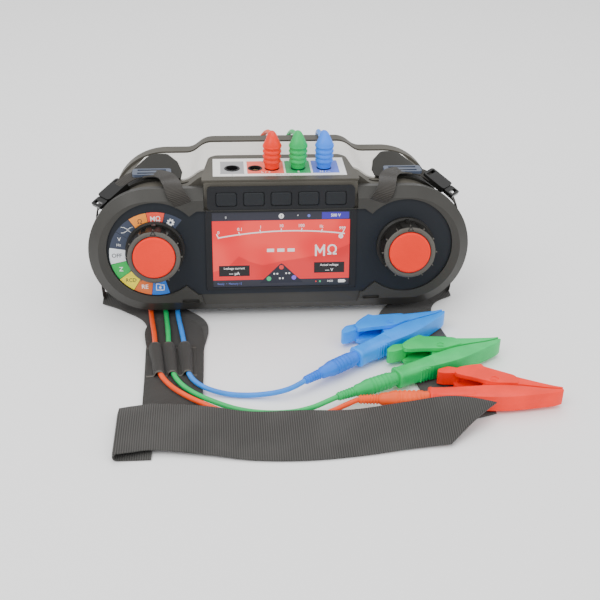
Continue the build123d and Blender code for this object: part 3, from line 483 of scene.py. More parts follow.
class Lead(Enum):
    """The three test leads: cord, boot and clip colours."""

    RED = "red"
    GREEN = "green"
    BLUE = "blue"

    @property
    def cord(self) -> Finish:
        """Finish of the cord."""
        code = {"red": "f2501c", "green": "0bb85e", "blue": "2f86e6"}[self.value]
        return Silicone(f"cord_{self.value}", srgb(code), f"lead_{self.value}", 0.36)

    @property
    def boot(self) -> Finish:
        """Finish of the boot behind the clip."""
        code = {"red": "fa5a1c", "green": "00bc60", "blue": "1a74e6"}[self.value]
        return Silicone(f"boot_{self.value}", srgb(code), f"lead_{self.value}", 0.42)

    @property
    def clip(self) -> Finish:
        """Finish of the clip's two mouldings."""
        code = {"red": "fa2c10", "green": "00c060", "blue": "1292ff"}[self.value]
        return Silicone(f"clip_{self.value}", srgb(code), f"clip_{self.value}", 0.34, 0.1)

    @property
    def plug(self) -> Finish:
        """Finish of the plug."""
        code = {"red": "f42c0c", "green": "00b45a", "blue": "2c80fa"}[self.value]
        return Silicone(f"plug_{self.value}", srgb(code), f"lead_{self.value}", 0.4)


# ---------------------------------------------------------------- mesh building
def finished(name: str, mesh: bpy.types.Mesh, finishes: Sequence[Finish], body: str = "root",
             smooth: float = 40.0) -> bpy.types.Object:
    """Makes a piece of the model from a mesh.

    Args:
        name: the piece's name.
        mesh: its mesh, in metres in the shared frame.
        finishes: its finishes, in the order of the mesh's material numbers.
        body: the body it rides on.
        smooth: angle in degrees below which edges are shaded smooth.
    Returns:
        The object, which rides on the body.
    """
    mesh.name = name
    for finish in finishes:
        mesh.materials.append(finish.material())
    for polygon in mesh.polygons:
        polygon.use_smooth = True
    mesh.set_sharp_from_angle(angle=math.radians(smooth))
    piece = link(bpy.data.objects.new(name, mesh))
    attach(piece, body)
    return piece


class Sketch:
    """Collects solids in one bmesh, in millimetres, each with a material number."""

    def __init__(self, matrix: Matrix | None = None) -> None:
        """Starts empty; matrix places everything that is added, in millimetres."""
        self.bm = bmesh.new()
        self.matrix = matrix or Matrix.Identity(4)

    def _close(self, verts: list[bmesh.types.BMVert], faces: list[bmesh.types.BMFace], number: int) -> None:
        """Places new vertices and numbers new faces.

        Args:
            verts: the new vertices, still in the sketch's own frame.
            faces: the new faces.
            number: material number.
        """
        for vert in verts:
            vert.co = self.matrix @ vert.co
        for face_ in faces:
            face_.material_index = number

    def prism(self, outline: Sequence[Flat], low: float, high: float, number: int = 0) -> None:
        """Adds a closed prism.

        Args:
            outline: corners in the matrix's XY plane.
            low: height of its bottom.
            high: height of its top.
            number: material number.
        """
        area = sum(a[0] * b[1] - b[0] * a[1] for a, b in zip(outline, [*outline[1:], outline[0]]))
        points = list(outline) if area > 0 else list(reversed(outline))
        bottom = [self.bm.verts.new((x, y, low)) for x, y in points]
        top = [self.bm.verts.new((x, y, high)) for x, y in points]
        faces = [self.bm.faces.new(top), self.bm.faces.new(list(reversed(bottom)))]
        for i in range(len(points)):
            j = (i + 1) % len(points)
            faces.append(self.bm.faces.new((bottom[i], bottom[j], top[j], top[i])))
        self._close(bottom + top, faces, number)

    def rings(self, loops: Sequence[Sequence[Sequence[float]]], number: int = 0, closed: bool = False,
              caps: bool = True) -> None:
        """Adds a skin through loops of points that all have the same count.

        Args:
            loops: the loops, in order along the shape.
            number: material number.
            closed: whether the last loop joins the first.
            caps: whether the first and last loops are filled.
        """
        made = [[self.bm.verts.new(p) for p in loop] for loop in loops]
        faces = []
        pairs = list(zip(made, made[1:])) + ([(made[-1], made[0])] if closed else [])
        for a, b in pairs:
            for i in range(len(a)):
                j = (i + 1) % len(a)
                faces.append(self.bm.faces.new((a[i], a[j], b[j], b[i])))
        if caps and not closed:
            faces += [self.bm.faces.new(list(reversed(made[0]))), self.bm.faces.new(made[-1])]
        self._close([v for loop in made for v in loop], faces, number)

    def turned(self, profile: Sequence[Flat], number: int = 0, steps: int = 40) -> None:
        """Adds a solid turned about the X axis, from pairs of place along X and radius."""
        self.rings([[(x, r * c, r * s) for c, s in circle(steps)] for x, r in profile], number)

    def hoop(self, profile: Sequence[Flat], number: int = 0, steps: int = 48) -> None:
        """Adds a ring about the Z axis, from a closed outline in pairs of radius and height."""
        self.rings([[(r * c, r * s, z) for r, z in profile] for c, s in circle(steps)], number, closed=True)

    def stroke(self, points: Sequence[Flat], width: float, low: float, high: float,
               number: int = 0) -> None:
        """Adds a bar along each run of a line.

        Args:
            points: the line's points.
            width: width of the bar.
            low: height of its bottom.
            high: height of its top.
            number: material number.
        """
        for (ax, ay), (bx, by) in zip(points, points[1:]):
            length = math.hypot(bx - ax, by - ay)
            ux, uy = (bx - ax) / length * width / 2, (by - ay) / length * width / 2
            self.prism([(ax - ux + uy, ay - uy - ux), (bx + ux + uy, by + uy - ux),
                        (bx + ux - uy, by + uy + ux), (ax - ux - uy, ay - uy + ux)], low, high, number)

    def disc(self, at: Flat, radius: float, low: float, high: float, number: int = 0,
             steps: int = 28) -> None:
        """Adds a short cylinder about a centre, between two heights."""
        self.prism([(at[0] + radius * c, at[1] + radius * s) for c, s in circle(steps)], low, high, number)

    def letters(self, text: str, size: float, at: Flat, low: float, high: float, number: int = 0,
                bold: float = 0.0) -> None:
        """Adds lettering centred on a point.

        Args:
            text: the words, which may have line breaks.
            size: letter size in mm.
            at: centre.
            low: height of the letters' back.
            high: height of their front.
            number: material number.
            bold: growth of the strokes in mm.
        """
        curve = bpy.data.curves.new("letters", "FONT")
        curve.body, curve.size = text, size
        curve.align_x, curve.align_y = "CENTER", "CENTER"
        curve.extrude, curve.offset, curve.resolution_u = (high - low) / 2, bold, 3
        mesh = plain_mesh(link(bpy.data.objects.new("letters", curve)))
        mesh.transform(self.matrix @ Matrix.Translation((at[0], at[1], (low + high) / 2)))
        before = len(self.bm.faces)
        self.bm.from_mesh(mesh)
        self.bm.faces.ensure_lookup_table()
        for index in range(before, len(self.bm.faces)):
            self.bm.faces[index].material_index = number
        bpy.data.meshes.remove(mesh)

    def mesh(self, bevel: float = 0.0, segments: int = 2) -> bpy.types.Mesh:
        """Ends the sketch.

        Args:
            bevel: width in mm that every sharp edge is rounded by.
            segments: faces across each rounding.
        Returns:
            The mesh, in metres.
        """
        self.bm.normal_update()
        if bevel:
            sharp = [e for e in self.bm.edges if e.is_manifold and e.calc_face_angle(0) > math.radians(35)]
            bmesh.ops.bevel(self.bm, geom=sharp, offset=bevel, segments=segments, profile=0.6,
                            affect="EDGES",
                            clamp_overlap=True)
        bmesh.ops.recalc_face_normals(self.bm, faces=self.bm.faces)
        bmesh.ops.scale(self.bm, vec=(MM, MM, MM), verts=self.bm.verts)
        result = bpy.data.meshes.new("piece")
        self.bm.to_mesh(result)
        self.bm.free()
        return result


def eased(points: Sequence[Sequence[float]], steps: int = 6, closed: bool = False) -> list[list[float]]:
    """Smooth line through points.

    Args:
        points: control points of any dimension.
        steps: samples for each run.
        closed: whether the line closes.
    Returns:
        The sampled points.
    """
    count = len(points)
    out: list[list[float]] = []
    runs = count if closed else count - 1
    for i in range(runs):
        def at(k: int) -> Sequence[float]:
            """Control point k, wrapped or held at the ends."""
            return points[k % count] if closed else points[min(max(k, 0), count - 1)]
        a, b, c, d = at(i - 1), at(i), at(i + 1), at(i + 2)
        for s in range(steps):
            t = s / steps
            out.append([0.5 * (2 * b[k] + (c[k] - a[k]) * t + (2 * a[k] - 5 * b[k] + 4 * c[k] - d[k]) * t * t
                               + (3 * b[k] - a[k] - 3 * c[k] + d[k]) * t ** 3) for k in range(len(b))])
    if not closed:
        out.append(list(points[-1]))
    return out


def rounded(corners: Sequence[tuple[float, float, float]], steps: int = 5) -> list[Flat]:
    """Outline with each corner rounded.

    Args:
        corners: x, y and the length that the rounding takes from both sides.
        steps: points on each rounding.
    Returns:
        The outline's points.
    """
    out: list[Flat] = []
    count = len(corners)
    for i, (x, y, r) in enumerate(corners):
        before, after = Vector(corners[i - 1][:2]), Vector(corners[(i + 1) % count][:2])
        here = Vector((x, y))
        if r <= 0:
            out.append((x, y))
            continue
        a = here + (before - here).normalized() * min(r, 0.48 * (before - here).length)
        b = here + (after - here).normalized() * min(r, 0.48 * (after - here).length)
        for s in range(steps + 1):
            t = s / steps
            p = a * (1 - t) ** 2 + here * 2 * t * (1 - t) + b * t * t
            out.append((p.x, p.y))
    return out


def cloth(name: str, rows: Sequence[Sequence[Sequence[float]]], thick: float, finish: Finish,
          rib: float = 0.0,
          pitch: float = 1.6) -> bpy.types.Object:
    """Strap or cloth from rows of points, with its weave map in millimetres.

    Args:
        name: the piece's name.
        rows: points in mm; each row runs across the strap and the rows follow each other along it.
        thick: thickness in mm, half to each side.
        finish: its finish.
        rib: height of woven ribs across the strap, in mm.
        pitch: distance between the ribs, in mm.
    Returns:
        The closed piece.
    """
    grid = [[Vector(p) for p in row] for row in rows]
    lengths = [0.0]
    for a, b in zip(grid, grid[1:]):
        lengths.append(lengths[-1] + sum((q - p).length for p, q in zip(a, b)) / len(a))
    across = [0.0]
    middle = grid[len(grid) // 2]
    for p, q in zip(middle, middle[1:]):
        across.append(across[-1] + (q - p).length)

    def normal(i: int, j: int) -> Vector:
        """Unit normal of the grid at a point.

        Args:
            i: the point's row.
            j: its place in the row.
        Returns:
            The normal.
        """
        along = grid[min(i + 1, len(grid) - 1)][j] - grid[max(i - 1, 0)][j]
        side = grid[i][min(j + 1, len(middle) - 1)] - grid[i][max(j - 1, 0)]
        return along.cross(side).normalized()

    bm = bmesh.new()
    layers = []
    for sign in (1, -1):
        made = []
        for i, row in enumerate(grid):
            lift = 0.5 * thick + rib * abs(math.sin(math.pi * lengths[i] / pitch))
            edge = [0.55 if j in (0, len(row) - 1) else 1.0 for j in range(len(row))]
            made.append([bm.verts.new((p + normal(i, j) * sign * lift * edge[j]) * MM)
                         for j, p in enumerate(row)])
        layers.append(made)
    uv = bm.loops.layers.uv.new("weave")
    tag = {}
    for made in layers:
        for i, row in enumerate(made):
            for j, vert in enumerate(row):
                tag[vert] = (lengths[i], across[j])
    top, under = layers
    last, edge_ = len(grid) - 1, len(middle) - 1
    for i in range(last):
        for j in range(edge_):
            bm.faces.new((top[i][j], top[i + 1][j], top[i + 1][j + 1], top[i][j + 1]))
            bm.faces.new((under[i][j], under[i][j + 1], under[i + 1][j + 1], under[i + 1][j]))
        bm.faces.new((top[i][0], under[i][0], under[i + 1][0], top[i + 1][0]))
        bm.faces.new((top[i][edge_], top[i + 1][edge_], under[i + 1][edge_], under[i][edge_]))
    for j in range(edge_):
        bm.faces.new((top[0][j], top[0][j + 1], under[0][j + 1], under[0][j]))
        bm.faces.new((top[last][j], under[last][j], under[last][j + 1], top[last][j + 1]))
    for face_ in bm.faces:
        for loop in face_.loops:
            loop[uv].uv = tag[loop.vert]
    bmesh.ops.recalc_face_normals(bm, faces=bm.faces)
    mesh = bpy.data.meshes.new(name)
    bm.to_mesh(mesh)
    bm.free()
    piece = finished(name, mesh, [finish], "root", 60.0)
    return piece


def dress_node(finish: Finish, *names: str) -> None:
    """Gives CAD nodes a finish.

    Args:
        finish: the finish.
        names: the nodes' names.
    """
    for name in names:
        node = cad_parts[name]
        if not node.material_slots:
            node.data.materials.append(finish.material())
        for entry in node.material_slots:
            entry.material = finish.material()


# ---------------------------------------------------------------- repeated features
SCATTER_SEED = 11


class RepeatTree:
    """Geometry Nodes tree that repeats one small bar around a circle in XY."""

    def __init__(self, name: str) -> None:
        """Builds the tree under a name.

        Args:
            name: the tree's name.
        """
        self.tree = bpy.data.node_groups.new(name, "GeometryNodeTree")
        face_ = self.tree.interface
        face_.new_socket("Geometry", in_out="INPUT", socket_type="NodeSocketGeometry")
        for label, kind in (("Count", "NodeSocketInt"), ("Radius", "NodeSocketFloat"),
                            ("Bar", "NodeSocketVector"), ("Scatter", "NodeSocketFloat"),
                            ("Finish", "NodeSocketMaterial")):
            face_.new_socket(label, in_out="INPUT", socket_type=kind)
        face_.new_socket("Geometry", in_out="OUTPUT", socket_type="NodeSocketGeometry")
        nodes = Nodes(self.tree)
        entry = self.tree.nodes.new("NodeGroupInput")
        given = {s.name: Value(nodes, s) for s in entry.outputs if s.name}
        points = nodes.add("GeometryNodeMeshCircle", None, {"Vertices": given["Count"],
                                                            "Radius": given["Radius"]})
        outward = nodes.add("GeometryNodeInputPosition")
        turn = nodes.add("FunctionNodeAlignRotationToVector", {"axis": "X"}, {"Vector": outward})
        bar = nodes.add("GeometryNodeMeshCube", None, {"Size": given["Bar"]})
        spread = nodes.add("FunctionNodeRandomValue", {"data_type": "FLOAT"},
                           {2: 0.0, 3: given["Scatter"], "Seed": SCATTER_SEED}, 1)
        placed = nodes.add("GeometryNodeInstanceOnPoints", None,
                           {"Points": points, "Instance": bar, "Rotation": turn, "Scale": 1.0 - spread})
        real = nodes.add("GeometryNodeRealizeInstances", None, {0: placed})
        done = nodes.add("GeometryNodeSetMaterial", None, {"Geometry": real, "Material": given["Finish"]})
        leave = self.tree.nodes.new("NodeGroupOutput")
        self.tree.links.new(done.socket, leave.inputs[0])

    def make(self, **inputs: Any) -> bpy.types.Mesh:
        """Runs the tree.

        Args:
            inputs: values of the tree's named inputs, sizes in millimetres.
        Returns:
            The plain mesh, in millimetres.
        """
        carrier = link(bpy.data.objects.new("carrier", bpy.data.meshes.new("carrier")))
        modifier = carrier.modifiers.new("repeat", "NODES")
        modifier.node_group = self.tree
        for item in self.tree.interface.items_tree:
            if item.in_out == "INPUT" and item.name in inputs:
                modifier[item.identifier] = inputs[item.name]
        carrier.data.update()
        return plain_mesh(carrier)


def gather(name: str, parts: Iterable[tuple[bpy.types.Mesh, Matrix]], finish: Finish,
           body: str = "root") -> bpy.types.Object:
    """Joins placed meshes in millimetres into one piece.

    Args:
        name: the piece's name.
        parts: meshes with the matrix that places each.
        finish: the piece's finish.
        body: the body it rides on.
    Returns:
        The piece.
    """
    bm = bmesh.new()
    for mesh, matrix in parts:
        mesh.transform(matrix)
        bm.from_mesh(mesh)
        bpy.data.meshes.remove(mesh)
    for face_ in bm.faces:
        face_.material_index = 0
    bmesh.ops.scale(bm, vec=(MM, MM, MM), verts=bm.verts)
    result = bpy.data.meshes.new(name)
    bm.to_mesh(result)
    bm.free()
    return finished(name, result, [finish], body)


# ---------------------------------------------------------------- stage and camera
@dataclass
class Stage:
    """Floor, soft lights and the camera."""

    eye: Point = (-50.04, -767.98, 421.2)
    azimuth: float = -5.25
    elevation: float = 29.55
    roll: float = 1.25
    lens: float = 60.0

    def camera(self) -> None:
        """Places the camera."""
        data = bpy.data.cameras.new("camera")
        data.lens, data.sensor_width = self.lens, 36.0
        data.clip_start = 0.05
        camera = link(bpy.data.objects.new("camera", data))
        a, e, r = (math.radians(x) for x in (self.azimuth, self.elevation, self.roll))
        back = Vector((math.sin(a) * math.cos(e), -math.cos(a) * math.cos(e), math.sin(e)))
        right = (-back).cross(Vector((0, 0, 1))).normalized()
        up = right.cross(-back)
        tilted = math.cos(r) * right + math.sin(r) * up
        upward = -math.sin(r) * right + math.cos(r) * up
        turn = Matrix((tilted, upward, back)).transposed().to_4x4()
        camera.matrix_world = Matrix.Translation(Vector(self.eye) * MM) @ turn
        bpy.context.scene.camera = camera

    def lamp(self, name: str, at: Point, aim: Point, size: float, power: float) -> None:
        """Adds a square soft light.

        Args:
            name: the light's name.
            at: its place in metres.
            aim: the point in metres that it shines at.
            size: length of its side in metres.
            power: its power in watts.
        """
        data = bpy.data.lights.new(name, "AREA")
        data.size, data.energy = size, power
        lamp = link(bpy.data.objects.new(name, data))
        lamp.matrix_world = (Matrix.Translation(at)
                             @ (Vector(at) - Vector(aim)).to_track_quat("Z", "Y").to_matrix().to_4x4())

    def build(self) -> None:
        """Builds the floor, the lights and the camera."""
        bm = bmesh.new()
        bmesh.ops.create_grid(bm, x_segments=1, y_segments=1, size=4.0)
        mesh = bpy.data.meshes.new("floor")
        bm.to_mesh(mesh)
        bm.free()
        floor = link(bpy.data.objects.new("floor", mesh))
        floor.location.z = -0.0002
        paint = Shader("floor_paint", Base_Color=(0.93, 0.93, 0.93, 1), Roughness=0.9)
        mesh.materials.append(paint.material)
        world = bpy.data.worlds.new("studio")
        world.use_nodes = True
        background = next(n for n in world.node_tree.nodes if n.type == "BACKGROUND")
        background.inputs["Color"].default_value = (1.0, 1.0, 1.0, 1.0)
        background.inputs["Strength"].default_value = 1.05
        bpy.context.scene.world = world
        self.lamp("key", (-0.9, -0.9, 1.5), (0, 0, 0.05), 1.2, 20.0)
        self.lamp("fill", (1.2, -1.0, 1.0), (0, 0, 0.05), 1.4, 9.0)
        self.lamp("top", (0.1, 0.5, 1.6), (0, 0, 0.05), 1.4, 14.0)
        self.camera()


# ---------------------------------------------------------------- test leads
PLUG_X = {Lead.RED: -5.8, Lead.GREEN: 15.2, Lead.BLUE: 36.4}
COIL_X = {Lead.RED: -100.0, Lead.GREEN: -46.0, Lead.BLUE: 8.0}
CLIP_AT = {Lead.RED: ((62.5, -189.8), -1.5), Lead.GREEN: ((46.3, -178.6), 25.0),
           Lead.BLUE: ((23.3, -154.4), 35.3)}
CLIP_Z, RELIEF = 9.2, 16.0
DOWN = [(1, 12, 131.6), (2.2, 24, 124.6), (3.4, 38, 119.6), (3.6, 54, 117.6)]
REAR = {
    Lead.RED: [*DOWN, (1.5, 69, 116.8), (-3, 80, 109),
               (-10, 84, 93), (-23, 85, 72), (-41, 84, 51), (-61, 82, 33.5), (-78, 79.6, 22.5)],
    Lead.GREEN: [*DOWN, (1.5, 69, 116.8), (-1, 80, 109),
                 (-5, 84.5, 93), (-12, 86, 73), (-22, 85, 53), (-33, 83, 35), (-43, 80, 23)],
    Lead.BLUE: [*DOWN, (3.5, 69, 116.8), (3.5, 80, 109),
                (5.5, 84.5, 93), (8, 86, 73), (9, 85, 54), (4, 83, 36.5), (-7, 80, 24)],
}
FRONT = {
    Lead.RED: [(-117, 73, 2.1), (-123, 56, 2.1), (-121, 33, 2.1), (-115, 8, 2.6), (-110.5, -18, 3.8),
               (-107.5, -44, 3.9), (-105.2, -66, 5.0), (-102.4, -87, 5.1), (-101.0, -106, 5.05),
               (-99.0, -124.5, 5.0), (-96.3, -143, 5.05), (-88, -159, 4.9), (-77, -171.5, 4.9),
               (-64, -182.5, 4.9), (-48, -192.5, 3.4), (-29, -198.8, 2.2), (-8, -200.6, 2.1),
               (12, -199.5, 2.2), (26, -196, 3.6), (36.8, -192, 6.7)],
    Lead.GREEN: [(-66, 73, 2.1), (-81, 61, 2.1), (-91, 41, 2.1), (-96.5, 16, 2.4), (-97.6, -11, 3.8),
                 (-96, -37, 3.9), (-93.8, -61, 5.0), (-91.7, -84, 5.1), (-90.6, -106, 5.05),
                 (-89.0, -124.5, 5.0), (-86.6, -143, 5.05), (-80, -158, 4.9), (-69.5, -170.5, 4.9),
                 (-56, -180.5, 4.7), (-40, -188.5, 3.0), (-20, -193, 2.3), (0, -193.6, 2.8),
                 (14, -191.6, 5.0), (23.8, -188.8, 7.8)],
    Lead.BLUE: [(-15, 74, 2.1), (-37, 70.5, 2.1), (-58, 62, 2.1), (-73, 44, 2.1), (-81, 19, 2.4),
                (-85, -8, 3.8), (-86, -34, 3.9), (-84.6, -59, 5.0), (-81, -83, 5.1), (-78.3, -106, 5.05),
                (-77.2, -124.5, 5.0), (-75.3, -143, 5.05), (-69.5, -156, 4.9), (-59, -164.5, 4.0),
                (-44.5, -169, 2.4), (-27.5, -171, 2.6), (-11, -172, 4.9), (2.5, -170, 7.9)],
}


def clip_matrix(lead: Lead) -> Matrix:
    """Matrix in mm of a clip lying on its side: X from the boot to the tip, Y towards its thumb lever."""
    (x, y), heading = CLIP_AT[lead]
    return Matrix.Translation((x, y, CLIP_Z)) @ Matrix.Rotation(math.radians(heading), 4, "Z")


@dataclass
class Cord:
    """Cord of one test lead: from the plug over the back, a stored coil, and along the floor to the clip."""

    lead: Lead
    width: float = 4.0
    coil_radius: float = COIL_R
    coil_turns: int = 4
    coil_pitch: float = 4.2
    coil_y: float = COIL_Y
    turn_points: int = 16
    real_length: float = 1200.0

    def points(self) -> list[Point]:
        """Works out the spline's points, with the coil's turns in a loop.

        Returns:
            Points in mm from the plug to the boot.
        """
        plug_x, coil_x = PLUG_X[self.lead], COIL_X[self.lead]
        front_y = self.coil_y - self.coil_radius
        high = 0.5 * self.width + 0.1 + self.coil_turns * self.coil_pitch
        route: list[Point] = [(plug_x, 0.0, PLUG_TOP)]
        route += [(plug_x + dx, y, z) for dx, y, z in REAR[self.lead]]
        route.append((coil_x + 6, front_y + 0.3, high))
        reach = self.coil_radius / math.cos(math.pi / self.turn_points) * 1.004
        count = self.coil_turns * self.turn_points
        for i in range(1, count):
            angle = math.radians(-90) - math.tau * i / self.turn_points
            route.append((coil_x + reach * math.cos(angle), self.coil_y + reach * math.sin(angle),
                          high - self.coil_turns * self.coil_pitch * i / count))
        route.append((coil_x - 4, front_y, 2.1))
        route += FRONT[self.lead]
        end = clip_matrix(self.lead) @ Vector((-RELIEF, 0, 0))
        route.append(tuple(end))
        return route

    def build(self) -> bpy.types.Object:
        """Builds the cord as one smooth open spline.

        Returns:
            The cord, a live curve.
        """
        curve = bpy.data.curves.new(f"cord_{self.lead.value}", "CURVE")
        curve.dimensions = "3D"
        curve.bevel_depth, curve.bevel_resolution = 0.5 * self.width * MM, 4
        curve.use_fill_caps = True
        points = self.points()
        spline = curve.splines.new("NURBS")
        spline.points.add(len(points) - 1)
        for target, point in zip(spline.points, points):
            target.co = (*(c * MM for c in point), 1.0)
        spline.order_u = 3
        spline.use_endpoint_u = True
        spline.resolution_u = 5
        curve.materials.append(self.lead.cord.material())
        piece = link(bpy.data.objects.new(f"cord_{self.lead.value}", curve))
        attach(piece, "root")
        self.lead.cord.slot
        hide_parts(f"cable_rear_{self.lead.value}", f"coil_{self.lead.value}",
                    f"cable_front_{self.lead.value}")
        return piece


@dataclass
class CoilTie:
    """Hook-and-loop tie round one stored coil."""

    lead: Lead
    width: float = 9.0

    def build(self) -> bpy.types.Object:
        """Builds the tie at the rear of the coil.

        Returns:
            The tie.
        """
        middle = Vector((COIL_X[self.lead], COIL_Y + COIL_R, 10.4))
        rows = []
        loop = rounded([(-3.2, -10.3, 2.4), (3.2, -10.3, 2.4), (3.2, 10.9, 2.6), (-3.2, 10.9, 2.6)], 6)
        for y, z in [*loop, loop[0]]:
            rows.append([middle + Vector((x, y, z)) for x in (-self.width / 2, 0.0, self.width / 2)])
        return cloth(f"coil_tie_{self.lead.value}", rows, 0.8, ELASTIC)


@dataclass
class Plug:
    """Shrouded plug with three grip ribs and a hood that bends to the rear."""

    lead: Lead
    foot: float = 115.2
    jack_y: float = JACK_Y
    body: list[Flat] = field(default_factory=lambda: [
        (0.0, 4.6), (0.4, 5.6), (3.2, 6.1), (4.6, 6.3), (5.2, 7.0), (6.2, 7.3), (7.2, 7.0), (7.8, 6.4),
        (8.6, 6.4), (9.2, 7.1), (10.2, 7.45), (11.2, 7.1), (11.8, 6.5), (12.6, 6.5), (13.2, 7.2),
        (14.2, 7.6), (15.2, 7.2), (15.8, 6.6), (16.6, 6.6), (17.2, 7.2), (18.6, 7.7)])
    hood: list[tuple[float, float, float, float]] = field(default_factory=lambda: [
        (-13.0, 133.6, 7.7, 7.4), (-12.9, 135.0, 7.4, 7.2), (-12.5, 136.8, 6.4, 6.6),
        (-11.6, 138.8, 5.2, 5.6), (-9.9, 140.3, 4.3, 4.6), (-7.4, 140.6, 3.6, 3.9), (-4.6, 139.8, 3.3, 3.4),
        (-2.0, 138.6, 3.1, 3.1), (0.4, 137.4, 2.9, 2.9)])

    def build(self) -> bpy.types.Object:
        """Builds the plug.

        Returns:
            The plug.
        """
        sketch = Sketch()
        x, ring = PLUG_X[self.lead], circle(32)
        loops = []
        for height, radius in self.body:
            loops.append([(x + radius * c, self.jack_y + radius * s, self.foot + height) for c, s in ring])
        spine = eased([(y, z, a, b) for y, z, a, b in self.hood], 3)
        for k, (y, z, a, b) in enumerate(spine[1:], 1):
            before, after = spine[k - 1], spine[min(k + 1, len(spine) - 1)]
            dy, dz = after[0] - before[0], after[1] - before[1]
            length = math.hypot(dy, dz)
            ny, nz = dz / length, -dy / length
            loops.append([(x + a * c, y + ny * b * s, z + nz * b * s) for c, s in ring])
        sketch.rings(loops)
        for low, high, radius in ((-15.0, 0.3, 4.2), (-18.0, -14.9, 1.9)):
            sketch.disc((x, self.jack_y), radius, self.foot + low, self.foot + high, 0, 24)
        piece = finished(f"plug_body_{self.lead.value}", sketch.mesh(), [self.lead.plug], "root", 50.0)
        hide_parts(f"plug_{self.lead.value}")
        return piece


